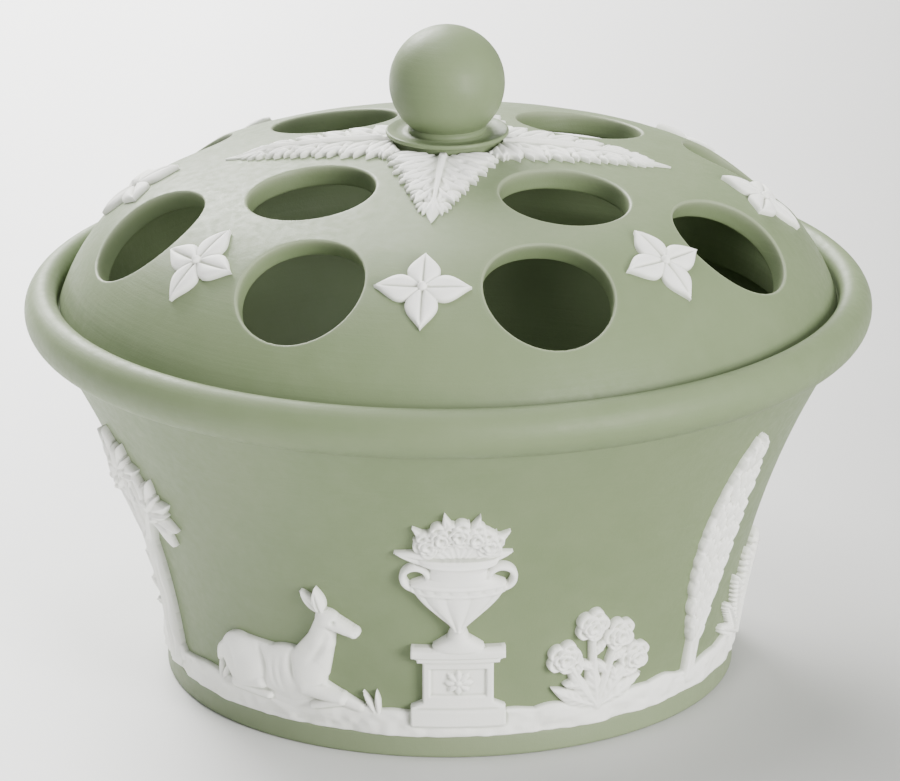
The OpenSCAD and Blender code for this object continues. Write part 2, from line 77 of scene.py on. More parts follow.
class Body(str, Enum):
    """The rigid bodies of the part that a piece can ride on."""

    VASE = "vase"
    LID = "lid"


class Slot(str, Enum):
    """The material slots of the record."""

    CLAY = "green_stoneware"
    WHITE = "white_relief"


# Numbers


def toward(turn: float) -> Array:
    """Unit vector at a turn from the first axis, in degrees."""
    return np.array([math.cos(math.radians(turn)), math.sin(math.radians(turn))])


def turn_of(v: Array) -> float:
    """Turn of a vector from the first axis, in degrees."""
    return math.degrees(math.atan2(v[1], v[0]))


def between(a: Point, b: Point, share: float) -> Point:
    """Point on the line from one point to another, at a share of its length."""
    return a[0] + (b[0] - a[0]) * share, a[1] + (b[1] - a[1]) * share


def around(r: Array, angle: Array, z: Array) -> Array:
    """Points round the axis: (r sin, -r cos, z) at each turn from the front, in radians."""
    return np.stack(np.broadcast_arrays(r * np.sin(angle), -r * np.cos(angle), z), axis=-1)


def arc(mid: Array, radius: float, start: float, end: float, steps: int) -> Array:
    """Points of a circular arc: middle plus radius times the unit vector at even turns, in degrees."""
    turns = np.radians(np.linspace(start, end, steps + 1))
    return mid + radius * np.stack([np.cos(turns), np.sin(turns)], axis=1)


def rounded(corner: Array, before: Array, after: Array, radius: float, steps: int = 5) -> Array:
    """Replaces a corner of an outline by a parabola that touches both sides at one distance from it.

    Args:
        corner: The sharp corner.
        before: The point that the outline comes from.
        after: The point that the outline goes to.
        radius: Distance from the corner where the curve leaves each side.
        steps: Number of steps along the curve.

    Returns:
        The points of the curve.
    """
    a = corner + (before - corner) * radius / np.linalg.norm(before - corner)
    b = corner + (after - corner) * radius / np.linalg.norm(after - corner)
    t = np.linspace(0.0, 1.0, steps + 1)[:, None]
    return (1 - t) ** 2 * a + 2 * t * (1 - t) * corner + t**2 * b


def softened(path: list[Array], radii: tuple[float, ...]) -> Array:
    """Rounds the inner corners of a path, each by a radius of its own."""
    bends = zip(path, path[1:], path[2:], radii)
    return np.concatenate([rounded(corner, before, after, radius) for before, corner, after, radius in bends])


def lattice(i: Array, j: Array, seed: int) -> Array:
    """Repeatable value from 0 to 1 for each lattice point and seed, from the fraction of a large sine."""
    wave = np.sin(i * 127.1 + j * 311.7 + seed * 74.7) * 43758.5453
    return wave - np.floor(wave)


def noise(x: Array, y: Array, seed: int, period: int) -> Array:
    """Smooth noise from -1 to 1: lattice values blended across each cell by the cubic 3t^2 - 2t^3.

    Args:
        x: First coordinate, in cells.
        y: Second coordinate, in cells.
        seed: Number that picks the field.
        period: Number of cells after which the field repeats along the first coordinate.

    Returns:
        The noise at each point.
    """
    i, j = np.floor(x), np.floor(y)
    s, t = x - i, y - j
    s, t = s * s * (3 - 2 * s), t * t * (3 - 2 * t)
    here, there = np.mod(i, period), np.mod(i + 1, period)
    low = lattice(here, j, seed) * (1 - s) + lattice(there, j, seed) * s
    high = lattice(here, j + 1, seed) * (1 - s) + lattice(there, j + 1, seed) * s
    return 2 * (low * (1 - t) + high * t) - 1


def blurred(values: Array, reach: int) -> Array:
    """Mean over a square of cells, as a difference of running sums along each axis.

    Args:
        values: The values on a grid.
        reach: Number of cells that the square takes in on each side.

    Returns:
        The mean round each cell.
    """
    count = 2 * reach + 1
    for axis in (0, 1):
        pad = [(0, 0), (0, 0)]
        pad[axis] = (reach + 1, reach)
        total = np.moveaxis(np.cumsum(np.pad(values, pad, mode="edge"), axis=axis), axis, 0)
        values = np.moveaxis((total[count:] - total[:-count]) / count, 0, axis)
    return values


def half_round(share: Array) -> Array:
    """Half-round section: the root of 1 less the square of the distance, as a share of the radius."""
    return np.sqrt(1.0 - np.clip(share, 0.0, 1.0) ** 2)


def swell(depth: Array, width: Array | float) -> Array:
    """Quarter-round shoulder: 0 at the outline, 1 from one width inside it."""
    return half_round(1.0 - depth / width)


def smooth_step(x: Array, low: float, high: float) -> Array:
    """Cubic step 3t^2 - 2t^3, from 0 at one value to 1 at another."""
    t = np.clip((x - low) / (high - low), 0.0, 1.0)
    return t * t * (3 - 2 * t)


# Forms that the clay follows


@dataclass(frozen=True)
class BowlForm:
    """Section of the bowl: a hollow flare from a foot band to a rolled rim, with a gallery for the lid."""

    rim_r: float = 70.0
    rim_h: float = 62.3
    roll_r: float = 4.3
    roll_tuck: float = 266.0
    foot_r: float = 47.5
    foot_h: float = 3.9
    foot_step: float = 0.9
    foot_ring_w: float = 6.0
    foot_recess: float = 2.0
    flare_r: float = 136.0
    wall: float = 4.2
    floor_t: float = 4.5
    corner_r: float = 6.0
    lip_w: float = 5.4
    lip_round: float = 2.2
    gallery_h: float = 4.2
    ledge_w: float = 4.8

    @property
    def rim_mid(self) -> Array:
        """Middle of the rim's roll, as distance from the axis and height."""
        return np.array([self.rim_r - self.roll_r, self.rim_h])

    @property
    def wall_foot(self) -> Array:
        """Lower end of the flare."""
        return np.array([self.foot_r - self.foot_step, self.foot_h])

    @property
    def wall_head(self) -> Array:
        """Upper end of the flare, in the crease under the roll."""
        return self.rim_mid + self.roll_r * toward(self.roll_tuck)

    @property
    def flare_mid(self) -> Array:
        """Middle of the circle that the flare is an arc of, outside the bowl."""
        chord = self.wall_head - self.wall_foot
        half = np.linalg.norm(chord) / 2
        along = chord / (2 * half)
        across = np.array([along[1], -along[0]])
        return (self.wall_foot + self.wall_head) / 2 + math.sqrt(self.flare_r**2 - half**2) * across

    @property
    def ledge_z(self) -> float:
        """Height of the ledge that the lid rests on."""
        return self.rim_h + self.roll_r - self.gallery_h

    @property
    def gallery_r(self) -> float:
        """Radius of the gallery's upright wall."""
        return self.rim_r - self.lip_w

    @property
    def lip_mid(self) -> Array:
        """Middle of the lip's rounded inner side, whose circle touches the roll's from inside."""
        across = self.gallery_r + self.lip_round - self.rim_mid[0]
        return self.rim_mid + np.array([across, math.sqrt((self.roll_r - self.lip_round) ** 2 - across**2)])

    @property
    def mouth_r(self) -> float:
        """Radius of the mouth inside the ledge."""
        return self.gallery_r - self.ledge_w

    def wall_radius(self, z: Array) -> Array:
        """Radius of the outer face at a height: middle less the root of radius^2 less height^2."""
        mid = self.flare_mid
        return mid[0] - np.sqrt(self.flare_r**2 - (z - mid[1]) ** 2)

    def place(self, u: Array, v: Array, height: Array, turn: float) -> Array:
        """Wraps a drawing on the flare, as seen square on from a turn about the axis.

        A point at u across and v up goes to the turn plus the arc sine of u over the wall's radius at v,
        then out along the wall's normal by its height.

        Args:
            u: Distance across the drawing.
            v: Height above the table.
            height: Relief above the wall.
            turn: Turn of the drawing's middle line from the front, in degrees.

        Returns:
            Points in the CAD frame, one row each.
        """
        mid = self.flare_mid
        radius = self.wall_radius(v)
        angle = math.radians(turn) + np.arcsin(np.clip(u / radius, -1.0, 1.0))
        out_r, out_z = (mid[0] - radius) / self.flare_r, (mid[1] - v) / self.flare_r
        r = radius + height * out_r
        return around(r, angle, v + height * out_z)


@dataclass(frozen=True)
class DomeForm:
    """Outer face of the lid: a shallow crown that runs into a tighter shoulder, with one tangent."""

    ledge_z: float
    edge_r: float
    dome_h: float = 27.2
    crown_r: float = 175.0
    shoulder_r: float = 32.4
    edge_h: float = 0.9
    thick: float = 3.6

    @property
    def crown_mid(self) -> Array:
        """Middle of the crown's arc, on the axis."""
        return np.array([0.0, self.ledge_z + self.dome_h - self.crown_r])

    @property
    def edge_top(self) -> Array:
        """Lower end of the shoulder, at the top of the lid's plain edge."""
        return np.array([self.edge_r, self.ledge_z + self.edge_h])

    @property
    def shoulder_mid(self) -> Array:
        """Middle of the shoulder's arc, which touches the crown from inside and passes through the edge."""
        span = self.edge_top - self.crown_mid
        far = np.linalg.norm(span)
        along = span / far
        reach = self.crown_r - self.shoulder_r
        a = (reach**2 - self.shoulder_r**2 + far**2) / (2 * far)
        h = math.sqrt(reach**2 - a**2)
        return self.crown_mid + a * along + h * np.array([-along[1], along[0]])

    @property
    def join_turn(self) -> float:
        """Turn at which the crown meets the shoulder, in degrees from level."""
        return turn_of(self.shoulder_mid - self.crown_mid)

    @property
    def edge_turn(self) -> float:
        """Turn of the shoulder's lower end, in degrees from level."""
        return turn_of(self.edge_top - self.shoulder_mid)

    def surface(self, r: Array, out: float = 0.0) -> tuple[Array, Array, Array]:
        """Height and normal of the dome, or of a dome at a distance outside it, from its two arcs.

        Args:
            r: Distances from the axis.
            out: Distance outside the lid's face, negative for inside.

        Returns:
            The heights, and the normals' parts away from the axis and up.
        """
        crown, shoulder = self.crown_mid, self.shoulder_mid
        big, small = self.crown_r + out, self.shoulder_r + out
        on_crown = r <= big * math.cos(math.radians(self.join_turn))
        z_crown = crown[1] + np.sqrt(np.maximum(big**2 - r**2, 0.0))
        reach = np.clip(r - shoulder[0], -small, small)
        z_shoulder = shoulder[1] + np.sqrt(small**2 - reach**2)
        z = np.where(on_crown, z_crown, z_shoulder)
        n_r = np.where(on_crown, r / big, reach / small)
        n_z = np.where(on_crown, (z_crown - crown[1]) / big, (z_shoulder - shoulder[1]) / small)
        return z, n_r, n_z

    def lean(self, r: float) -> float:
        """Lean of the normal from upright, in radians, at a distance from the axis."""
        _, n_r, _ = self.surface(np.array([r]))
        return math.asin(float(n_r[0]))

    def place(self, x: Array, y: Array, height: Array, turn: float) -> Array:
        """Lays a plan drawing on the dome: x across, y out from the axis, then out along the normal.

        Args:
            x: Distance across.
            y: Distance out from the axis along the middle line.
            height: Relief above the dome.
            turn: Turn of the middle line from the front, in degrees.

        Returns:
            Points in the CAD frame, one row each.
        """
        base = np.hypot(x, y)
        angle = math.radians(turn) + np.arctan2(x, y)
        z, n_r, n_z = self.surface(base)
        r = base + height * n_r
        return around(r, angle, z + height * n_z)

    def wrap(self, p: Array, q: Array, pitch: float, height: Array, turn: float) -> Array:
        """Wraps a flat drawing whose middle touches the dome at a pitch radius.

        A point at q along the meridian moves round the shoulder's arc by q over its radius, and one at p
        across turns about the axis by the arc sine of p over its distance from the axis.

        Args:
            p: Distance across, to the right as seen from outside.
            q: Distance along the meridian, towards the crown.
            pitch: Distance of the drawing's middle from the axis.
            height: Relief above the dome.
            turn: Turn of the middle from the front, in degrees.

        Returns:
            Points in the CAD frame, one row each.
        """
        lean = self.lean(pitch) - q / self.shoulder_r
        base = self.shoulder_mid[0] + self.shoulder_r * np.sin(lean)
        return self.place(p, np.sqrt(np.maximum(base**2 - p**2, 0.0)), height, turn)


BOWL = BowlForm()
DOME = DomeForm(ledge_z=BOWL.ledge_z, edge_r=BOWL.gallery_r - LID_GAP)


# Meshes


def make_object(
    name: str,
    points: Array,
    faces: list[Array],
    weld: float = 0.0,
    outward: bool = True,
    values: dict[str, Array] | None = None,
) -> bpy.types.Object:
    """Makes a smooth mesh object from points in millimetres.

    Args:
        name: Name of the object.
        points: Points in millimetres, one row each.
        faces: Arrays of point numbers, each with one row per face and 3 or 4 columns.
        weld: Distance in millimetres under which points become one, or 0 to leave them.
        outward: Whether to turn the faces outward, for a mesh whose order doesn't already.
        values: Numbers to store at each point, by name.

    Returns:
        The new object, linked to the scene.
    """
    mesh = bpy.data.meshes.new(name)
    sizes = np.concatenate([np.full(len(f), f.shape[1]) for f in faces])
    corners = np.concatenate([f.ravel() for f in faces])
    mesh.vertices.add(len(points))
    mesh.vertices.foreach_set("co", (points * MM).astype(np.float32).ravel())
    mesh.loops.add(len(corners))
    mesh.loops.foreach_set("vertex_index", corners.astype(np.int32))
    mesh.polygons.add(len(sizes))
    mesh.polygons.foreach_set("loop_start", np.concatenate([[0], np.cumsum(sizes)[:-1]]).astype(np.int32))
    mesh.update(calc_edges=True)
    for key, value in (values or {}).items():
        mesh.attributes.new(key, "FLOAT", "POINT").data.foreach_set("value", value.astype(np.float32))
    if outward:
        made = bmesh.new()
        made.from_mesh(mesh)
        if weld > 0.0:
            bmesh.ops.remove_doubles(made, verts=made.verts, dist=weld * MM)
        bmesh.ops.recalc_face_normals(made, faces=made.faces)
        made.to_mesh(mesh)
        made.free()
    mesh.validate()
    mesh.polygons.foreach_set("use_smooth", np.ones(len(mesh.polygons), dtype=bool))
    obj = bpy.data.objects.new(name, mesh)
    bpy.context.scene.collection.objects.link(obj)
    return obj


def grid_faces(rows: int, columns: int, first: int = 0, closed: bool = False) -> Array:
    """Four-sided faces of a grid of points, numbered row by row.

    Args:
        rows: Number of rows of points.
        columns: Number of points in a row.
        first: Number of the grid's first point.
        closed: Whether the last column joins the first.

    Returns:
        Point numbers, one face a row.
    """
    i, j = np.meshgrid(np.arange(rows - 1), np.arange(columns if closed else columns - 1), indexing="ij")
    k = (j + 1) % columns
    here, there = i * columns, (i + 1) * columns
    quads = np.stack([here + j, here + k, there + k, there + j], axis=-1)
    return quads.reshape(-1, 4) + first


def revolve(outline: Array, segments: int) -> Array:
    """Turns an outline about the axis: point i at turn j is (r sin, -r cos, z) of the outline's point i."""
    angle = np.linspace(0.0, 2 * math.pi, segments, endpoint=False)
    return around(outline[:, :1], angle, outline[:, 1:])


def turned(name: str, outline: Array, segments: int, edge: Array | None = None) -> bpy.types.Object:
    """Makes a turned piece from its outline.

    Args:
        name: Name of the object.
        outline: Distances from the axis and heights, one row a point.
        segments: Number of steps round the axis.
        edge: How much painted highlight each point of the outline gets, or nothing where none is.

    Returns:
        The new object.
    """
    points = revolve(outline, segments).reshape(-1, 3)
    # The edge value sets how much painted highlight each point gets
    painted_highlight = np.repeat(np.zeros(len(outline)) if edge is None else edge, segments)
    faces = [grid_faces(len(outline), segments, closed=True)]
    return make_object(name, points, faces, weld=0.001, values={"edge": painted_highlight})


# Reliefs


@dataclass
class Relief:
    """A moulded relief over a drawing plane: a height at each point, and a distance to the outline.

    The distance is negative inside. Forms are laid one over another, and the higher wins.
    """

    u: Array
    v: Array
    dist: Array = field(init=False)
    past: Array = field(init=False)
    height: Array = field(init=False)
    nowhere: ClassVar[float] = 9.0
    overlap: ClassVar[float] = 0.2

    def __post_init__(self) -> None:
        """Starts with nothing laid and nothing cut."""
        self.dist = np.full_like(self.u, self.nowhere)
        self.past = np.full_like(self.u, -self.nowhere)
        self.height = np.zeros_like(self.u)

    def lay(self, dist: Array, height: Array, soft: float = 0.0) -> None:
        """Lays a form over what is there.

        Args:
            dist: Distance to the form's outline, negative inside.
            height: The form's height.
            soft: Height over which the form blends into its neighbours, or 0 for a sharp valley.
        """
        new = np.where(dist <= self.overlap, height, 0.0)
        blend = np.zeros_like(new)
        if soft > 0.0:
            near = np.maximum(1.0 - np.abs(self.height - new) / soft, 0.0)
            blend = np.where(np.minimum(self.height, new) > 0.0, soft * near**2 / 4, 0.0)
        self.height = np.maximum(self.height, new) + blend
        self.dist = np.minimum(self.dist, dist)

    def local(self, root: Point, turn: float) -> tuple[Array, Array]:
        """Coordinates along and across a direction.

        Args:
            root: Where the direction starts.
            turn: The direction in degrees.

        Returns:
            Distances along it and to its left.
        """
        c, s = toward(turn)
        x, y = self.u - root[0], self.v - root[1]
        return x * c + y * s, y * c - x * s

    def limb(
        self, a: Point, b: Point, radii: Point, low: float, high: float, soft: float = 0.0, bark: float = 0.0
    ) -> None:
        """Lays a tapered round limb: a half-round section along a line, with ridges if it has bark.

        Args:
            a: Middle of one end.
            b: Middle of the other end.
            radii: Radius at each end.
            low: Height at the outline.
            high: Height along the middle.
            soft: Height over which it blends into its neighbours.
            bark: Depth of wavy ridges along it.
        """
        long = math.hypot(b[0] - a[0], b[1] - a[1])
        x, y = self.local(a, turn_of(np.subtract(b, a)))
        t = np.clip(x / long, 0.0, 1.0)
        r = radii[0] + (radii[1] - radii[0]) * t
        off = np.hypot(x - t * long, y)
        ridge = bark * np.sin(7.0 * y / r + 1.2 * np.sin(0.7 * x) + 0.15 * x)
        rise = half_round(off / r)
        self.lay(off - r, low + (high - low) * rise + ridge * rise, soft)

    def oval(self, mid: Point, radii: Point, turn: float, low: float, high: float, soft: float = 0.0) -> None:
        """Lays half an ellipsoid.

        Args:
            mid: Its middle.
            radii: Half lengths along and across its turn.
            turn: Turn of its first axis in degrees.
            low: Height at the outline.
            high: Height at the middle.
            soft: Height over which it blends into its neighbours.
        """
        x, y = self.local(mid, turn)
        k = np.hypot(x / radii[0], y / radii[1])
        self.lay((k - 1.0) * min(radii), low + (high - low) * half_round(k), soft)

    def blade(
        self,
        root: Point,
        turn: float,
        size: Point,
        low: float,
        high: float,
        *,
        bend: float = 0.0,
        belly: float = 0.45,
        tip: float = 1.0,
        rib: float = 0.0,
        fine: float = 0.1,
        twin: float = 0.0,
        tilt: float = 0.0,
        veins: int = 0,
    ) -> None:
        """Lays a pointed leaf: half width as t^a (1 - t)^b, with its widest place at a share of its length.

        Args:
            root: Where the leaf starts.
            turn: Its direction in degrees.
            size: Length and width.
            low: Height at the outline.
            high: Height of its swell.
            bend: How far the tip bends to the left.
            belly: Share of the length at which it is widest.
            tip: The power b, over 1 for a waist at the root and a drawn-out tip.
            rib: Height of the middle rib, negative for a groove.
            fine: Width of the rib as a share of the leaf's.
            twin: Height of a swell along each half.
            tilt: How far the tip rises above the root.
            veins: Number of side veins.
        """
        long, wide = size
        x, y = self.local(root, turn)
        t = np.clip(x / long, 0.0, 1.0)
        y = y - bend * t * t
        power = tip * belly / (1.0 - belly)
        half = wide / 2 * t**power * (1.0 - t) ** tip / (belly**power * (1.0 - belly) ** tip)
        past = np.maximum(np.maximum(-x, x - long), 0.0)
        dist = np.hypot(np.maximum(np.abs(y) - half, 0.0), past) + np.minimum(np.abs(y) - half, 0.0)
        across = np.clip(np.abs(y) / np.maximum(half, 0.02), 0.0, 1.0)
        lengthwise = np.sin(math.pi * t) ** 0.5
        height = low + (high - low) * half_round(across) * (0.45 + 0.55 * lengthwise)
        height = height + rib * np.exp(-((y / (fine * wide)) ** 2)) * (1.0 - t**3) + tilt * t
        height = height + twin * np.sin(math.pi * across) * lengthwise
        if veins:
            wave = np.sin(2 * math.pi * (veins * t - 0.9 * across))
            height = height + 0.09 * wave * across * (1.0 - across) * 4 * np.sin(math.pi * t)
        self.lay(dist, height)

    def beyond(self, ends: Point, half: Array | float) -> Array:
        """Distance to a shape that is even on both sides of the middle line, negative inside."""
        return np.maximum(np.abs(self.u) - half, np.maximum(ends[0] - self.v, self.v - ends[1]))

    def block(self, ends: Point, half: Array | float, low: float, high: float, bevel: float) -> None:
        """Lays a symmetrical flat-topped shape with bevelled sides."""
        dist = self.beyond(ends, half)
        self.lay(dist, low + (high - low) * swell(-dist, bevel))

    def sink(self, ends: Point, half: float, depth: float, bevel: float) -> None:
        """Sinks a rectangular panel with sloping sides into what is laid."""
        dist = self.beyond(ends, half)
        self.height = self.height - depth * np.clip(-dist / bevel, 0.0, 1.0)

    def dent(self, mid: Point, radius: float, depth: float) -> None:
        """Presses a round dent, as a bell curve, into what is laid, or a bump where its depth is negative."""
        far = np.hypot(self.u - mid[0], self.v - mid[1]) / radius
        self.height = self.height - depth * np.exp(-(far**2)) * (self.height > 0.0)

    def vessel(self, ends: Point, half: Array, low: float, high: float) -> None:
        """Lays half of a turned vessel, round in section.

        Args:
            ends: Its lowest and highest v.
            half: Its half width at each point of the plane.
            low: Height at the outline.
            high: Height along the middle.
        """
        dist = self.beyond(ends, half)
        rise = half_round(np.abs(self.u) / np.maximum(half, 0.05))
        self.lay(dist, low + (high - low) * rise)

    def ring(self, mid: Point, radius: float, tube: float, low: float, high: float) -> None:
        """Lays a ring of round section."""
        off = np.abs(np.hypot(self.u - mid[0], self.v - mid[1]) - radius)
        self.lay(off - tube, low + (high - low) * half_round(off / tube))

    def crease(self, path: tuple[Point, Point, Point], width: float, depth: float) -> None:
        """Presses a line, which fades towards its ends, into what is laid.

        The line is the parabola a(1 - s)^2 + 2bs(1 - s) + cs^2, taken as short straight runs.

        Args:
            path: Start of the line, the point that bends it, and its end.
            width: Half width of its bell-shaped section.
            depth: Its depth, negative for a ridge.
        """
        near, along = np.full_like(self.u, np.inf), np.zeros_like(self.u)
        runs = 12
        s = np.linspace(0.0, 1.0, runs + 1)[:, None]
        a, b, c = np.array(path)
        line = (1 - s) ** 2 * a + 2 * s * (1 - s) * b + s**2 * c
        for k in range(runs):
            way = line[k + 1] - line[k]
            x, y = self.u - line[k, 0], self.v - line[k, 1]
            t = np.clip((x * way[0] + y * way[1]) / (way @ way), 0.0, 1.0)
            off = np.hypot(x - t * way[0], y - t * way[1])
            along = np.where(off < near, (k + t) / runs, along)
            near = np.minimum(near, off)
        fade = np.sin(math.pi * along)
        self.height = self.height - depth * fade * np.exp(-((near / width) ** 2)) * (self.height > 0.0)

    def petal(self, mid: Point, radii: Point, turn: float, low: float, high: float) -> None:
        """Lays a cupped petal, which rises as the square of the distance from its middle to a rounded rim.

        Args:
            mid: Its middle.
            radii: Half lengths along and across its turn.
            turn: Turn of its first axis in degrees.
            low: Height at the middle.
            high: Height of the rim on the side that its turn points to.
        """
        x, y = self.local(mid, turn)
        k = np.hypot(x / radii[0], y / radii[1])
        lean = 0.5 + 0.5 * np.clip(x / radii[0], -1.0, 1.0)
        rim = 0.45 + 0.55 * half_round((k - 0.74) / 0.26)
        cup = low + (high - low) * lean * np.clip(k, 0.0, 1.0) ** 2
        self.lay((k - 1.0) * min(radii), cup * rim)

    def bloom(self, mid: Point, radius: float, low: float, high: float, turn: float) -> None:
        """Lays an open rose: whorls of cupped petals, each set between the last, round a small bud.

        Args:
            mid: Its middle.
            radius: Its radius.
            low: Height at the outline.
            high: Height of the heart.
            turn: Turn of the first petal in degrees.
        """
        rise = high - low
        whorls = ((5, 0.56, 0.47, 0.55, 0.0), (5, 0.34, 0.36, 0.80, 36.0), (3, 0.15, 0.27, 1.0, 10.0))
        for count, far, size, top, swing in whorls:
            for k in range(count):
                way = turn + swing + 360.0 * k / count
                c, s = toward(way)
                at = (mid[0] + radius * far * c, mid[1] + radius * far * s)
                radii = (radius * size, radius * size * 1.05)
                base = low + 0.05 * rise * (k % 2)
                self.petal(at, radii, way, base + rise * (top - 0.42), base + rise * top)
        self.dent(mid, radius * 0.13, 0.3 * rise)

    def ground(self, span: float, turn: float) -> None:
        """Lays a strip of clods with a rolling top: a line, two sines and noise that closes round the bowl.

        Args:
            span: Angle that the strip takes of the way round, in degrees.
            turn: Turn of its middle from the front, in degrees.
        """
        half = BOWL.foot_r * math.sin(math.radians(span / 2)) * 1.2
        t = (self.u / half + 1.0) / 2
        aside = np.arcsin(np.clip(self.u / BOWL.wall_radius(self.v), -1.0, 1.0))
        way = (turn / 360 + aside / (2 * math.pi)) % 1.0
        roll = 0.6 * (np.sin(3 * math.pi * t) + np.sin(math.pi * t))
        top = GROUND_H + roll + 0.3 * noise(way * 90, 0 * way, 5, 90)
        dist = np.maximum(self.v - top, BOWL.foot_h + SLIP_T - self.v)
        clods = 0.28 * noise(way * 72, self.v / 2.3, 11, 72) + 0.14 * noise(way * 190, self.v / 1.2, 23, 190)
        self.lay(dist, 0.5 + 0.4 * swell(top - self.v, 1.6) + clods * smooth_step(top - self.v, 0.0, 0.9))

    def cut(self, past: Array) -> None:
        """Cuts what is laid along a line that a neighbour continues from, by the distance past it."""
        self.past = past
        self.dist = np.maximum(self.dist, past)


def plane_area(x: Array, y: Array) -> Array:
    """Areas of flat faces: half the sum of their edges' cross products, positive if anticlockwise."""
    return np.sum(x * np.roll(y, -1, axis=1) - np.roll(x, -1, axis=1) * y, axis=1) / 2


def backing(points: Array, border: Array, draw: Callable[[Array, Array], Relief]) -> tuple[Array, Array]:
    """Fills an outline seen from behind, by a constrained Delaunay net of its points and of some inside it.

    Triangles whose middle lies in a hole of the drawing are left out.

    Args:
        points: Points of the drawing plane, one row each.
        border: Pairs of rows that are the outline's edges.
        draw: Gives the relief at points of the drawing plane.

    Returns:
        The net's points, which may have more where edges cross, and its triangles.
    """
    inside_only, tolerance, hole_reach = 1, 1e-7, 0.05
    made = delaunay_2d_cdt(points.tolist(), border.tolist(), [], inside_only, tolerance)
    spots, _, faces, sources, _, _ = made
    source = np.array([ids[0] if ids else -1 for ids in sources])
    net, faces = np.where(source[:, None] < 0, np.array(spots), points[source]), np.array(faces)[:, ::-1]
    middle = net[faces].mean(axis=1)
    return net, faces[draw(middle[:, :1], middle[:, 1:]).dist.ravel() < hole_reach]


def snapped(u: Array, v: Array, rough: Array, cell: float) -> tuple[Array, Array, Array]:
    """Slides grid points near an outline on to it, along the slope of their distance from it.

    Args:
        u: First coordinates of the grid.
        v: Second coordinates of the grid.
        rough: Distance from the outline at each point.
        cell: Spacing of the grid.

    Returns:
        The new coordinates, and which points slid.
    """
    least_slope, reach = 0.35, 0.7 * cell
    du, dv = np.gradient(rough, cell)
    slope = np.maximum(np.hypot(du, dv), least_slope)
    slide = rough / slope
    near = np.abs(slide) < reach
    return np.where(near, u - slide * du / slope, u), np.where(near, v - slide * dv / slope, v), near


def cut_faces(u: Array, v: Array, kept: Array, cell: float) -> tuple[Array, Array]:
    """Faces of a grid between the points that are kept, without those that the slide made slivers of.

    Args:
        u: First coordinates of the grid.
        v: Second coordinates of the grid.
        kept: Which points are kept.
        cell: Spacing of the grid.

    Returns:
        Four-sided faces, and three-sided ones where one corner of the four is not kept.
    """
    least_area = 0.15 * cell**2
    number = np.arange(u.size).reshape(u.shape)
    ring = [number[:-1, :-1], number[1:, :-1], number[1:, 1:], number[:-1, 1:]]
    held = np.stack([kept.ravel()[corner] for corner in ring])
    count = held.sum(axis=0)
    quads = np.stack(ring, axis=-1)[count == 4]
    threes = np.concatenate([
        np.stack([ring[k] for k in range(4) if k != gone], axis=-1)[(count == 3) & ~held[gone]]
        for gone in range(4)
    ])
    quads, threes = (f[plane_area(u.ravel()[f], v.ravel()[f]) > least_area] for f in (quads, threes))
    return quads, threes


def border_of(faces: tuple[Array, ...]) -> Array:
    """Edges that only one face has.

    Args:
        faces: Arrays of point numbers, one face a row.

    Returns:
        The two ends of each edge, in the order of its face.
    """
    edges = np.concatenate([f[:, [k, (k + 1) % f.shape[1]]] for f in faces for k in range(f.shape[1])])
    _, where, times = np.unique(np.sort(edges, axis=1), axis=0, return_index=True, return_counts=True)
    return edges[where[times == 1]]


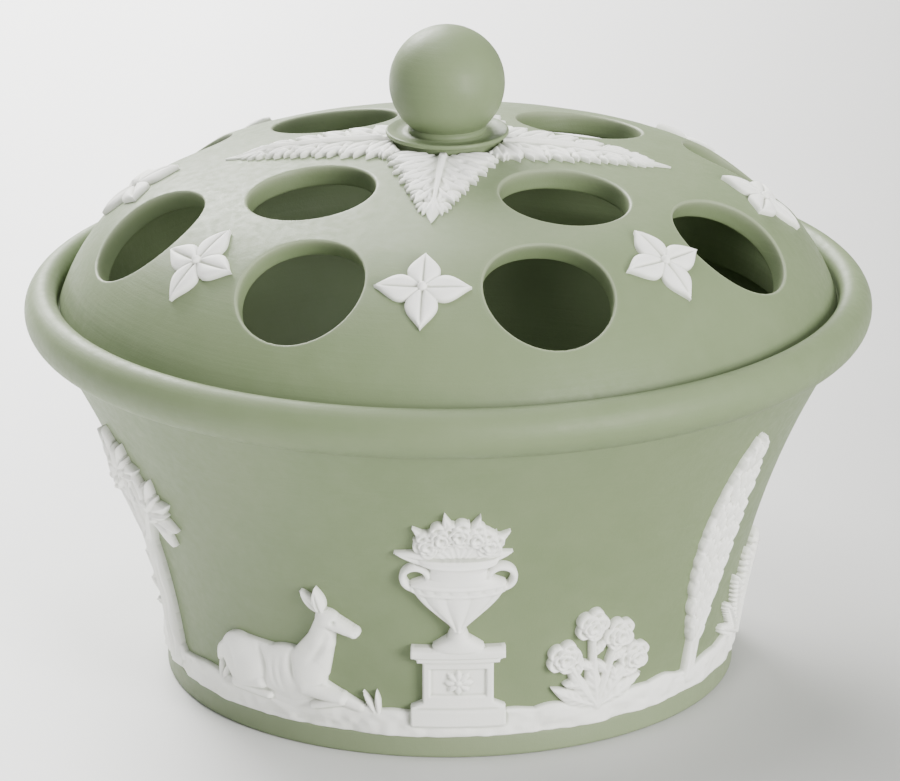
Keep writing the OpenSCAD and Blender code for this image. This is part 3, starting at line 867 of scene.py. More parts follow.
def relief_object(
    name: str,
    draw: Callable[[Array, Array], Relief],
    box: Box,
    cell: float,
    place: Callable[[Array, Array, Array], Array],
) -> bpy.types.Object:
    """Cuts a relief out of a grid and puts it on the clay.

    Grid points near the outline slide on to it, so that the cut follows the outline and not the grid. A skirt
    joins the outline to the clay, with an edge of its own where a neighbour runs on, and a net of wide cells
    closes the back.

    Args:
        name: Name of the object.
        draw: Gives the relief at points of the drawing plane.
        box: Lowest u, highest u, lowest v and highest v of the grid.
        cell: Spacing of the grid.
        place: Puts points of the plane, at a height, in the CAD frame.

    Returns:
        The new object, with its thickness, and its depth below the relief round it, stored at each point; the
        depth sets the painted shade in the relief's hollows.
    """
    hollow_reach, seam_reach = 0.6, 0.05
    u, v = np.meshgrid(np.arange(box[0], box[1], cell), np.arange(box[2], box[3], cell), indexing="ij")
    rough = draw(u, v).dist
    u, v, near = snapped(u, v, rough, cell)
    drawn = draw(u, v)
    height = np.maximum(drawn.height, EDGE_H)
    # Depth below the blurred relief round each point, which the white finish turns into painted shade
    hollow = blurred(np.where(rough < 0.0, height, 0.0), round(hollow_reach / cell)) - height
    quads, threes = cut_faces(u, v, near | (rough < 0.0), cell)

    border = border_of((quads, threes))
    runs_on = (np.abs(drawn.past.ravel()) < seam_reach)[border].all(axis=1)
    rim, seam = border[~runs_on], border[runs_on]
    used, foot = np.unique(np.concatenate([quads.ravel(), threes.ravel()])), np.unique(rim)
    fresh, below = np.full(u.size, -1), np.full(u.size, -1)
    fresh[used] = np.arange(len(used))
    below[foot] = len(used) + np.arange(len(foot))
    skirt = np.stack([fresh[rim[:, 1]], fresh[rim[:, 0]], below[rim[:, 0]], below[rim[:, 1]]], axis=1)

    plane, heights = np.stack([u.ravel(), v.ravel()], axis=1), height.ravel()
    wall_points = seam[:, [1, 0, 0, 1]]
    wall_h = np.where([True, True, False, False], heights[wall_points], -ROOT_DEPTH)
    wall = len(used) + len(foot) + np.arange(wall_points.size).reshape(-1, 4)
    ends, local = np.unique(border, return_inverse=True)
    wide = round(NET_CELL / cell)
    inner = np.arange(u.size).reshape(u.shape)[::wide, ::wide][rough[::wide, ::wide] < -NET_CELL / 2]
    net, back = backing(plane[np.concatenate([ends, inner])], local.reshape(-1, 2), draw)

    every = np.concatenate([used, foot, wall_points.ravel()])
    low = np.full(len(foot), -ROOT_DEPTH), np.full(len(net), -ROOT_DEPTH)
    thick = np.concatenate([heights[used], low[0], wall_h.ravel(), low[1]])
    return make_object(
        name,
        place(*np.concatenate([plane[every], net]).T, thick),
        [fresh[quads], fresh[threes], skirt, wall, len(every) + back],
        outward=False,
        values={
            "thick": np.maximum(thick, 0.0),
            "hollow": np.concatenate([hollow.ravel()[every], np.zeros(len(net))]),
        },
    )


# Designs of the frieze


class Design(ABC):
    """One motif of the frieze, drawn from the ground up."""

    span: float
    top: float

    @abstractmethod
    def draw(self, relief: Relief) -> None:
        """Lays the motif."""


@dataclass(frozen=True)
class Urn(Design):
    """Two-handled urn of flowers on a moulded plinth."""

    span: float = 30.0
    top: float = 48.6
    plinth_w: float = 15.0
    plinth_h: float = 13.0
    width: float = 15.0
    tall: float = 17.0
    flower_r: float = 2.5

    def draw(self, relief: Relief) -> None:
        """Lays the plinth, then the leaves, the urn and its flowers.

        Args:
            relief: What it is laid on.
        """
        step, half, top = self.plinth_h / 7, self.plinth_w / 2, GROUND_H + self.plinth_h
        levels = [GROUND_H - 2, GROUND_H + step, GROUND_H + 1.5 * step, top - 1.5 * step, top - step, top]
        widths = [half, half, half - step, half - step, half, half]
        relief.block((GROUND_H - 2, top), np.interp(relief.v, levels, widths), 0.6, 1.25, 0.4)
        relief.block((GROUND_H - 1.5, GROUND_H + 0.9 * step), half, 0.7, 1.75, 0.35)
        relief.block((top - 0.95 * step, top), half, 0.7, 1.75, 0.3)
        relief.block((top - 1.45 * step, top - 0.9 * step), half - 0.5 * step, 0.7, 1.5, 0.25)
        mid = GROUND_H + self.plinth_h * 0.5
        relief.sink((mid - 2.7, mid + 2.7), half - step - 1.1, 0.45, 0.3)
        for turn in range(0, 360, 45):
            relief.blade((0.0, mid), turn, (2.2, 1.1), 0.9, 1.35, belly=0.6)
        relief.oval((0.0, mid), (0.6, 0.6), 0.0, 1.0, 1.6)
        self.flowers(relief, top + self.tall)
        self.vase(relief, top)

    def vase(self, relief: Relief, foot: float) -> None:
        """Lays the urn itself, with gadroons below, a beaded band and a flared lip.

        Args:
            relief: What it is laid on.
            foot: Height of its foot.
        """
        stem, shoulder, lip = foot + self.tall * 0.24, foot + self.tall * 0.74, foot + self.tall
        t = np.linspace(0.0, 1.0, 24)
        bowl = self.width * (0.07 + 0.43 * np.sin(math.pi / 2 * t) ** 1.2)
        levels = np.concatenate([[foot, foot + 0.5, foot + 0.9, foot + 2.2], stem + (shoulder - stem) * t])
        widths = np.concatenate([[4.05, 4.05, 3.5, 1.7], bowl])
        levels = np.concatenate([levels, [shoulder + 1.2, lip - 1.7, lip - 0.5, lip]])
        widths = np.concatenate([widths, self.width * np.array([0.32, 0.29, 0.40, 0.42])])
        half = np.interp(relief.v, levels, widths)
        for side in (-1.0, 1.0):
            relief.ring((side * self.width * 0.45, shoulder + self.tall * 0.05), 2.03, 0.56, 0.6, 1.3)
        relief.vessel((foot, lip), half, 0.7, 2.1)
        on = (np.abs(relief.u) < half) & (relief.v > stem) & (relief.v < shoulder - 1.9)
        turn = np.arcsin(np.clip(relief.u / np.maximum(half, 0.05), -1.0, 1.0))
        lobes = 0.24 * (np.abs(np.cos(5.5 * turn)) - 0.6)
        relief.height = relief.height + np.where(on, lobes, 0.0)
        for level, size in ((shoulder - 1.6, 0.22), (shoulder - 0.2, 0.26), (lip - 0.5, 0.22), (stem, 0.2)):
            bead = size * np.exp(-(((relief.v - level) / 0.32) ** 2))
            relief.height = relief.height + np.where(np.abs(relief.u) < half, bead, 0.0)
        beads = 0.2 * np.abs(np.cos(9.0 * turn)) * np.exp(-(((relief.v - shoulder + 0.9) / 0.4) ** 2))
        relief.height = relief.height + np.where(np.abs(relief.u) < half, beads, 0.0)

    def flowers(self, relief: Relief, lip: float) -> None:
        """Lays a fan of leaves with five blooms over it.

        Args:
            relief: What it is laid on.
            lip: Height of the urn's lip.
        """
        r = self.flower_r
        root = (0.0, lip - r / 2)
        for spray in (26, 58, 90, 122, 154):
            for swing, long, wide, high in ((13, 4.2, 1.05, 1.0), (-10, 3.6, 0.9, 0.9)):
                size = (r * long, r * wide)
                relief.blade(root, spray + swing, size, 0.5, high, rib=-0.2, fine=0.07, twin=0.12)
        for k, spray in enumerate((26, 154, 58, 122, 90)):
            c, s = toward(spray)
            relief.bloom((r * 2.1 * c, lip + r * (0.6 + 1.5 * s)), r, 0.7, 2.0 + 0.06 * k, 20 + 31 * k)


@dataclass(frozen=True)
class RoseBush(Design):
    """Low bush with four open roses."""

    span: float = 26.0
    top: float = 26.4
    spread: float = 6.6
    tall: float = 15.0
    rose_r: float = 2.9

    def draw(self, relief: Relief) -> None:
        """Lays leaves, stems and then the roses.

        Args:
            relief: What it is laid on.
        """
        root = (0.0, GROUND_H - 0.6)
        for turn, bend in ((20, 1.0), (52, 0.7), (100, 0.3), (131, -0.7), (158, -1.0)):
            relief.blade(root, turn, (self.tall * 0.62, 2.7), 0.5, 1.15, bend=bend, rib=0.18, veins=6)
        heads = ((-1.0, 0.62), (1.0, 0.46), (-0.36, 0.98), (0.44, 0.8))
        for k, (aside, up) in enumerate(heads):
            head = (self.spread * aside, GROUND_H + self.tall * up)
            relief.limb(root, head, (0.85, 0.5), 0.5, 1.2, bark=0.05)
            lean = turn_of(np.subtract(head, root))
            for share, side in ((0.45, 50), (0.62, -46)):
                at = between(root, head, share)
                relief.blade(at, lean + side, (3.4, 1.7), 0.5, 1.2, rib=0.14, veins=4)
            relief.bloom(head, self.rose_r, 0.7, 2.1, 37 * k)


@dataclass(frozen=True)
class Cypress(Design):
    """Tall flame of tufts on a short trunk."""

    span: float = 24.0
    top: float = 53.4
    tall: float = 44.0
    width: float = 10.5
    trunk: float = 5.0

    def draw(self, relief: Relief) -> None:
        """Lays the trunk, the mass of foliage and tufts over it, which rise to their tips like tiles.

        Args:
            relief: What it is laid on.
        """
        foot, flame = GROUND_H + self.trunk, self.tall - self.trunk
        relief.limb((0.0, GROUND_H - 1), (0.0, foot + 4.0), (1.3, 0.9), 0.6, 1.4, bark=0.12)
        relief.blade((0.0, foot), 90, (flame, self.width * 0.86), 0.45, 0.8, belly=0.5)
        for i in range(12):
            t = (i + 0.5) / 12.8
            for side in (-1, 1):
                at = (side * self.width * 0.31 * math.sin(math.pi * t), foot + flame * t)
                size = np.array([flame / 6.4, self.width * 0.2]) * (1 - 0.6 * t**3)
                relief.blade(at, 90 - side * 15 * (1 - t), tuple(size), 0.45, 0.85, rib=0.12, tilt=0.2)
        count = 26
        for i in range(count):
            t = (i + 0.1) / (count + 1.0)
            wide = self.width * 0.86 * 4 * t * (1 - t) / 2 + 0.2
            for k in (-1.5, -0.5, 0.5, 1.5) if i % 2 else (-2, -1, 0, 1, 2):
                stray = 2 * float(lattice(np.array(i), np.array(k), 3)) - 1
                at = (wide * (k * 0.36 + 0.06 * stray), foot + flame * t - 0.5 * abs(k) + 0.3 * stray)
                size = np.array([flame / 8.4 * (1 + 0.14 * stray), 1.15 + wide * 0.17]) * (1 - 0.5 * t**3)
                relief.blade(
                    at, 90 - 9 * k * (1 - t) + 4 * stray, tuple(size), 0.3, 0.78,
                    belly=0.6, tilt=1.05 - 0.14 * abs(k), rib=0.22, fine=0.13,
                )


@dataclass(frozen=True)
class Fern(Design):
    """Clump of arching fronds."""

    span: float = 28.0
    top: float = 25.4
    long: float = 17.0
    fronds: int = 9

    def draw(self, relief: Relief) -> None:
        """Lays each frond as a rib with paired leaflets, those at the sides first.

        Args:
            relief: What it is laid on.
        """
        order = sorted(range(self.fronds), key=lambda i: -abs(i - (self.fronds - 1) / 2))
        for i in order:
            lean = 22 + 136 * i / (self.fronds - 1)
            size = 0.62 + 0.38 * math.sin(math.radians(lean)) ** 2
            root, long = np.array([0.0, GROUND_H - 0.85]), self.long * size
            along = toward(lean)
            tip = root + long * along
            lift = 0.25 - 0.05 * abs(i - (self.fronds - 1) / 2)
            relief.blade(tuple(root), lean, (long, 1.5 * size), 0.45, 0.8 + lift, belly=0.5)
            for k in range(10):
                t = 0.2 + 0.74 * k / 9
                at = root + t * long * along
                leaflet = 2.7 * size * (t**0.5) * (1.05 - t) ** 0.6 + 0.5
                for side in (-1, 1):
                    way = lean + side * (52 - 14 * t)
                    relief.blade(tuple(at), way, (leaflet, 0.95 * size), 0.45, 1.0 + lift, rib=0.08)
            relief.limb(tuple(root), tuple(tip), (0.34, 0.12), 0.7, 1.35 + lift)
            relief.blade(tuple(tip - 0.6 * along), lean, (1.9 * size, 0.9 * size), 0.45, 1.0 + lift, rib=0.08)


@dataclass(frozen=True)
class Olive(Design):
    """Olive tree with a forked trunk and fans of narrow leaves."""

    span: float = 34.0
    top: float = 51.5
    fork: float = 29.0
    crown: float = 12.0
    spread: float = 6.4
    leaf: float = 8.0
    trunk_w: float = 4.0

    def draw(self, relief: Relief) -> None:
        """Lays trunk and boughs, then leaves in two layers, then the fruit.

        Args:
            relief: What it is laid on.
        """
        root = (-self.trunk_w * 0.3, GROUND_H - self.trunk_w / 4)
        fork = (self.trunk_w * 0.15, self.fork)
        relief.oval((root[0], root[1] + 0.8), (3.1, 2.0), 0.0, 0.5, 1.2, 0.4)
        relief.limb(root, fork, (self.trunk_w / 2, self.trunk_w * 0.3), 0.6, 1.7, 0.3, bark=0.16)
        boughs = (
            ((-self.spread * 0.84, self.fork + self.crown * 0.58), 118),
            ((self.spread, self.fork + self.crown * 0.53), 58),
            ((self.spread * 0.12, self.fork + self.crown), 88),
        )
        for tip, turn in boughs:
            base = (fork[0], fork[1] - self.trunk_w / 5)
            relief.limb(base, tip, (self.trunk_w / 4, self.trunk_w * 0.14), 0.6, 1.5, 0.3, bark=0.1)
            for share, side in ((0.45, 42), (0.7, -40)):
                at = between(base, tip, share)
                relief.blade(at, turn + side, (self.leaf * 0.6, self.leaf * 0.24), 0.5, 1.2, rib=0.16)
        for tip, turn in boughs:
            for k in (-3, 3, -2, 2, -1, 1, 0):
                size = self.leaf * (1 - 0.05 * abs(k))
                relief.blade(tip, turn + 34 * k, (size, self.leaf * 0.3), 0.5, 1.25, bend=0.3 * k, rib=0.2)
            for k in (-2.5, 2.5, -1.5, 1.5, -0.5, 0.5):
                relief.blade(tip, turn + 34 * k, (self.leaf * 0.72, self.leaf * 0.26), 0.6, 1.6, rib=0.2)
            for k in (-1.6, 0.3, 1.9):
                c, s = toward(turn + 40 * k)
                relief.oval((tip[0] + 2.4 * c, tip[1] + 2.4 * s), (0.95, 0.72), turn + 40 * k, 0.8, 2.1)


@dataclass(frozen=True)
class Hind(Design):
    """Hind at rest with folded legs, looking to the right."""

    span: float = 38.0
    top: float = 33.0
    shift: Point = (-1.2, GROUND_H - 0.4)

    def at(self, x: float, y: float) -> Point:
        """Point of the hind's own drawing in the frieze's plane."""
        return self.shift[0] + x, self.shift[1] + y

    def draw(self, relief: Relief) -> None:
        """Lays grass tufts, trunk, near legs, neck and head, and then draws in the muscles.

        Args:
            relief: What it is laid on.
        """
        for x, turn in ((-15.5, 104), (-15.2, 82), (-14.8, 62), (14.6, 112), (15.0, 90), (15.4, 68)):
            relief.blade((x, GROUND_H - 0.4), turn, (4.6, 1.0), 0.5, 1.0, rib=0.1)
        for lay in (self.trunk, self.legs, self.head, self.muscles):
            lay(relief)

    def trunk(self, relief: Relief) -> None:
        """Lays the ground under the hind, its far leg, barrel, flank, tail and rump.

        Args:
            relief: What it is laid on.
        """
        at = self.at
        relief.oval(at(-0.4, 0.2), (10.0, 1.9), 0.0, 0.6, 0.95)
        relief.limb(at(7.6, 3.4), at(13.2, 1.2), (1.7, 0.85), 0.5, 1.15, 0.2)
        relief.oval(at(1.6, 5.8), (6.6, 4.9), 4.0, 0.6, 1.65, 0.4)
        relief.limb(at(-7.0, 6.0), at(0.5, 5.9), (4.4, 4.2), 0.55, 1.5, 0.5)
        relief.blade(at(-11.9, 8.0), -112, (4.4, 2.1), 0.5, 1.35, rib=0.15)
        relief.oval(at(-8.3, 6.1), (4.4, 4.5), 0.0, 0.6, 1.8, 0.7)

    def legs(self, relief: Relief) -> None:
        """Lays the thigh with its folded leg, then the shoulder with its own.

        Args:
            relief: What it is laid on.
        """
        at = self.at
        relief.oval(at(-7.0, 4.6), (4.6, 3.4), 32.0, 0.7, 2.1, 0.3)
        relief.limb(at(-4.4, 2.9), at(-9.6, 1.5), (1.55, 1.0), 0.6, 1.8, 0.15)
        relief.limb(at(-9.6, 1.2), at(-2.6, 0.7), (0.95, 0.68), 0.6, 1.75, 0.1)
        relief.oval(at(4.9, 6.4), (4.3, 3.0), 64.0, 0.6, 2.0, 0.4)
        relief.limb(at(4.6, 3.8), at(10.4, 2.6), (1.75, 1.1), 0.6, 1.9, 0.2)
        relief.limb(at(10.4, 2.2), at(5.6, 0.7), (0.95, 0.68), 0.6, 1.75, 0.1)

    def head(self, relief: Relief) -> None:
        """Lays the neck, far ear, skull, muzzle and near ear, with eye, brow and nostril.

        Args:
            relief: What it is laid on.
        """
        at = self.at
        relief.limb(at(5.6, 8.2), at(8.2, 12.8), (3.5, 2.3), 0.6, 1.75, 0.6)
        relief.limb(at(8.2, 12.8), at(9.7, 16.8), (2.3, 1.7), 0.6, 1.75, 0.6)
        relief.blade(at(9.0, 18.2), 126, (4.8, 2.1), 0.5, 1.1, rib=-0.25)
        relief.oval(at(10.2, 17.3), (2.1, 1.75), -20.0, 0.6, 1.95, 0.4)
        relief.limb(at(11.2, 16.8), at(14.2, 15.4), (1.5, 0.95), 0.6, 1.85, 0.35)
        relief.blade(at(9.3, 18.2), 94, (4.8, 2.2), 0.6, 1.6, rib=-0.4)
        relief.dent(at(11.4, 17.5), 0.36, 0.45)
        relief.dent(at(11.3, 18.1), 0.4, -0.16)
        relief.dent(at(14.6, 15.5), 0.24, 0.3)

    def muscles(self, relief: Relief) -> None:
        """Presses in the mouth, jaw, neck, shoulder, thigh, rump and ribs.

        Args:
            relief: What it is laid on.
        """
        at = self.at
        relief.crease((at(15.2, 14.9), at(13.5, 14.9), at(12.1, 15.6)), 0.18, 0.35)
        relief.crease((at(12.6, 15.2), at(10.6, 15.0), at(10.0, 16.8)), 0.4, 0.3)
        relief.crease((at(5.6, 8.6), at(9.2, 12.2), at(10.3, 16.0)), 0.6, 0.35)
        relief.crease((at(3.0, 11.0), at(1.6, 7.0), at(3.6, 3.6)), 0.55, 0.45)
        relief.crease((at(-4.6, 10.6), at(-1.7, 6.8), at(-3.6, 2.4)), 0.6, 0.5)
        relief.crease((at(-11.0, 9.4), at(-8.6, 6.2), at(-9.8, 2.4)), 0.7, 0.25)
        for x in (-1.0, 0.4):
            relief.crease((at(x + 0.4, 9.2), at(x - 0.7, 5.4), at(x + 0.6, 2.2)), 0.5, 0.16)


DESIGNS: tuple[tuple[str, Design], ...] = (
    ("urn", Urn()),
    ("rose_bush", RoseBush()),
    ("cypress", Cypress()),
    ("fern", Fern()),
    ("olive", Olive()),
    ("hind", Hind()),
)


# Finishes


@dataclass
class Graph:
    """A node tree with short calls to add and join nodes."""

    tree: bpy.types.NodeTree

    def feed(self, socket: Socket, value: Fed) -> None:
        """Links a socket to another, or sets its constant.

        Args:
            socket: The input to feed.
            value: An output to link, or a constant.
        """
        if isinstance(value, Socket):
            self.tree.links.new(value, socket)
        else:
            socket.default_value = value

    def fill(self, node: bpy.types.Node, inputs: dict[str, Fed]) -> None:
        """Feeds a node's inputs, each by its name in lower case."""
        for key, value in inputs.items():
            self.feed(node.inputs[key.replace("_", " ").title()], value)

    def add(self, kind: str, **inputs: Fed) -> bpy.types.Node:
        """Adds a node and feeds its inputs.

        Args:
            kind: Type of the node.
            **inputs: What goes into each input, by its name in lower case.

        Returns:
            The node.
        """
        node = self.tree.nodes.new(kind)
        self.fill(node, inputs)
        return node

    def use(self, group: bpy.types.NodeTree, **inputs: Fed) -> Socket:
        """Adds a node group.

        Args:
            group: The group.
            **inputs: What goes into each input, by its name in lower case.

        Returns:
            The group's first output.
        """
        node = self.tree.nodes.new("ShaderNodeGroup")
        node.node_tree = group
        self.fill(node, inputs)
        return node.outputs[0]

    def stored(self, name: str) -> Socket:
        """Reads a number that the mesh stores at each point.

        Args:
            name: Name that it is stored under.

        Returns:
            The number.
        """
        node = self.tree.nodes.new("ShaderNodeAttribute")
        node.attribute_name = name
        return node.outputs["Fac"]

    def noise(self, position: Socket, scale: float, detail: float) -> Socket:
        """Adds smooth noise, about 0 to 1, with its scale in cells to a metre."""
        return self.add("ShaderNodeTexNoise", vector=position, scale=scale, detail=detail).outputs[0]

    def span(self, value: Fed, start: float, end: float, low: float, high: float) -> Socket:
        """Maps one range on to another, held at both ends."""
        ends = {"from_min": start, "from_max": end, "to_min": low, "to_max": high}
        return self.add("ShaderNodeMapRange", value=value, **ends).outputs[0]

    def math(self, operation: str, a: Fed, b: Fed) -> Socket:
        """Adds a sum, product or other operation on two values.

        Args:
            operation: Name of the operation.
            a: First value.
            b: Second value.

        Returns:
            The result.
        """
        node = self.tree.nodes.new("ShaderNodeMath")
        node.operation = operation
        self.feed(node.inputs[0], a)
        self.feed(node.inputs[1], b)
        return node.outputs[0]

    def mix(self, share: Fed, a: Fed, b: Fed) -> Socket:
        """Mixes two colours.

        Args:
            share: How much of the second colour there is.
            a: First colour.
            b: Second colour.

        Returns:
            The mixed colour.
        """
        node = self.tree.nodes.new("ShaderNodeMix")
        node.data_type = "RGBA"
        for index, value in ((0, share), (6, a), (7, b)):
            self.feed(node.inputs[index], value)
        return node.outputs[2]


def new_material(name: str) -> tuple[bpy.types.Material, Graph, bpy.types.Node]:
    """Starts a material.

    Args:
        name: Name of the material.

    Returns:
        The material, its graph and its shader.
    """
    made = bpy.data.materials.new(name)
    made.use_nodes = True
    return made, Graph(made.node_tree), made.node_tree.nodes["Principled BSDF"]


def new_group(
    name: str, inputs: dict[str, str], output: tuple[str, str]
) -> tuple[Graph, bpy.types.Node, bpy.types.Node]:
    """Starts a shader node group with sockets of its own.

    Args:
        name: Name of the group.
        inputs: Kind of each input socket, by name.
        output: Name and kind of the output socket.

    Returns:
        The graph, and the nodes that hold its inputs and its output.
    """
    tree = bpy.data.node_groups.new(name, "ShaderNodeTree")
    for key, kind in inputs.items():
        tree.interface.new_socket(key, in_out="INPUT", socket_type=kind)
    tree.interface.new_socket(output[0], in_out="OUTPUT", socket_type=output[1])
    graph = Graph(tree)
    return graph, tree.nodes.new("NodeGroupInput"), tree.nodes.new("NodeGroupOutput")


def clay_tone() -> bpy.types.NodeTree:
    """Colour of fired clay: slow clouds between two tones, finer patches of a third, and small dark specks.

    Returns:
        The node group.
    """
    tones = {"Deep": "NodeSocketColor", "Mid": "NodeSocketColor", "Pale": "NodeSocketColor"}
    graph, given, result = new_group(
        "clay_tone", {"Position": "NodeSocketVector", **tones}, ("Color", "NodeSocketColor")
    )
    position, deep, mid, pale = (given.outputs[k] for k in ("Position", "Deep", "Mid", "Pale"))
    cloud = graph.span(graph.noise(position, 42.0, 3.0), 0.35, 0.65, 0.0, 1.0)
    patch = graph.span(graph.noise(position, 210.0, 4.0), 0.4, 0.75, 0.0, 0.55)
    speck = graph.span(graph.noise(position, 3400.0, 1.0), 0.68, 0.76, 0.0, 0.4)
    tone = graph.mix(patch, graph.mix(cloud, deep, mid), pale)
    graph.feed(result.inputs[0], graph.mix(speck, tone, deep))
    return graph.tree


def clay_grain() -> bpy.types.NodeTree:
    """Grain of unglazed clay: a coarse and a fine noise added together.

    Returns:
        The node group.
    """
    graph, given, result = new_group(
        "clay_grain", {"Position": "NodeSocketVector"}, ("Height", "NodeSocketFloat")
    )
    position = given.outputs[0]
    coarse = graph.math("MULTIPLY", graph.noise(position, 1300.0, 2.0), 0.6)
    fine = graph.math("MULTIPLY", graph.noise(position, 4200.0, 1.0), 0.4)
    graph.feed(result.inputs[0], graph.math("ADD", coarse, fine))
    return graph.tree


def turning_lines() -> bpy.types.NodeTree:
    """Fine level lines that turning leaves: noise that changes fast with height and slowly round the piece.

    Returns:
        The node group.
    """
    graph, given, result = new_group(
        "turning_lines", {"Position": "NodeSocketVector"}, ("Height", "NodeSocketFloat")
    )
    parts = graph.add("ShaderNodeSeparateXYZ", vector=given.outputs[0])
    flat = [graph.math("MULTIPLY", parts.outputs[k], 0.02) for k in (0, 1)]
    joined = graph.add("ShaderNodeCombineXYZ", x=flat[0], y=flat[1], z=parts.outputs[2])
    graph.feed(result.inputs[0], graph.noise(joined.outputs[0], 1700.0, 3.0))
    return graph.tree


@dataclass(frozen=True)
class Effects:
    """The node groups that the finishes share."""

    tone: bpy.types.NodeTree
    grain: bpy.types.NodeTree
    lines: bpy.types.NodeTree


@dataclass(frozen=True)
class Finish(ABC):
    """A clay body's look: its tones, roughness, shine and grain."""

    name: str
    deep: Colour
    mid: Colour
    pale: Colour
    rough: Point
    shine: float
    bump: float = 0.2
    grain_h: float = 0.2 * MM

    @abstractmethod
    def colour(self, graph: Graph, tone: Socket) -> Socket:
        """Works what is stored on the mesh into the clay's tone."""

    def height(self, graph: Graph, effects: Effects, position: Socket) -> Socket:
        """Height of the surface's grain."""
        return graph.use(effects.grain, position=position)

    def material(self, effects: Effects) -> bpy.types.Material:
        """Makes the material.

        Args:
            effects: The shared node groups.

        Returns:
            The material.
        """
        made, graph, shader = new_material(self.name)
        position = graph.add("ShaderNodeTexCoord").outputs["Object"]
        tone = graph.use(effects.tone, position=position, deep=self.deep, mid=self.mid, pale=self.pale)
        height = self.height(graph, effects, position)
        bump = graph.add("ShaderNodeBump", strength=self.bump, distance=self.grain_h, height=height)
        rough = graph.span(graph.noise(position, 700.0, 2.0), 0.3, 0.7, *self.rough)
        graph.feed(shader.inputs["Base Color"], self.colour(graph, tone))
        graph.feed(shader.inputs["Roughness"], rough)
        graph.feed(shader.inputs["Specular IOR Level"], self.shine)
        graph.feed(shader.inputs["Normal"], bump.outputs[0])
        return made


@dataclass(frozen=True)
class Stoneware(Finish):
    """Matte green stoneware, with painted highlights that make the holes' rounded edges and the foot band
    paler, and with turning lines.
    """

    # Pale colour of the painted highlights, and how strongly they are painted
    painted_highlight: Colour = (0.26, 0.30, 0.195, 1.0)
    highlight_strength: float = 0.7
    line_h: float = 0.9

    def colour(self, graph: Graph, tone: Socket) -> Socket:
        """Paints highlights: pales the tone where the mesh stores an edge value."""
        return graph.mix(graph.math("MULTIPLY", graph.stored("edge"), self.highlight_strength), tone, self.painted_highlight)

    def height(self, graph: Graph, effects: Effects, position: Socket) -> Socket:
        """Adds turning lines to the grain."""
        lines = graph.math("MULTIPLY", graph.use(effects.lines, position=position), self.line_h)
        return graph.math("ADD", graph.use(effects.grain, position=position), lines)


@dataclass(frozen=True)
class Bisque(Finish):
    """White unglazed relief clay, which shows a little green where it is thin, with painted shade that
    darkens its hollows.
    """

    thin: Colour = (0.48, 0.52, 0.42, 1.0)
    # Colour of the painted shade in the relief's hollows
    cavity_shade: Colour = (0.40, 0.42, 0.34, 1.0)
    glow: float = 0.05
    glow_tint: Triple = (1.0, 1.0, 0.85)
    glow_depth: float = 0.7 * MM

    def colour(self, graph: Graph, tone: Socket) -> Socket:
        """Lets the clay behind show through thin places and paints shade into the hollows.

        Args:
            graph: The material's graph.
            tone: The clay's own tone.

        Returns:
            The colour of the surface.
        """
        share = graph.span(graph.stored("thick"), 0.25, 0.85, 0.6, 0.0)
        # Painted shade: the deeper a point lies below the relief round it, the more of the shade colour it
        # gets
        depth = graph.span(graph.stored("hollow"), 0.02, 0.3, 0.0, 0.75)
        return graph.mix(depth, graph.mix(share, tone, self.thin), self.cavity_shade)

    def material(self, effects: Effects) -> bpy.types.Material:
        """Makes the material, with light that goes a little way in.

        Args:
            effects: The shared node groups.

        Returns:
            The material.
        """
        made = super().material(effects)
        inputs = made.node_tree.nodes["Principled BSDF"].inputs
        inputs["Subsurface Weight"].default_value = self.glow
        inputs["Subsurface Radius"].default_value = self.glow_tint
        inputs["Subsurface Scale"].default_value = self.glow_depth
        return made


GREEN = Stoneware(
    "green_stoneware_matte",
    deep=(0.147, 0.192, 0.096, 1.0),
    mid=(0.157, 0.202, 0.104, 1.0),
    pale=(0.170, 0.214, 0.116, 1.0),
    rough=(0.46, 0.58),
    shine=0.32,
)
WHITE = Bisque(
    "white_bisque",
    deep=(0.84, 0.84, 0.79, 1.0),
    mid=(0.90, 0.90, 0.855, 1.0),
    pale=(0.93, 0.93, 0.89, 1.0),
    rough=(0.55, 0.7),
    shine=0.3,
)


# Pieces


@dataclass
class Piece(ABC):
    """A visible piece that stands for one CAD node."""

    node: str
    body: Body
    slot: Slot

    @abstractmethod
    def build(self) -> bpy.types.Object:
        """Builds the piece's mesh."""

    def dress(self, obj: bpy.types.Object, material: bpy.types.Material) -> None:
        """Gives the piece its finish and its body, and hides the CAD node that it stands for.

        Args:
            obj: The piece's object.
            material: Its finish.
        """
        obj.data.materials.append(material)
        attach(obj, self.body.value)
        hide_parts(self.node)
        LOG.info("%s: %d faces on %s", obj.name, len(obj.data.polygons), self.body.value)


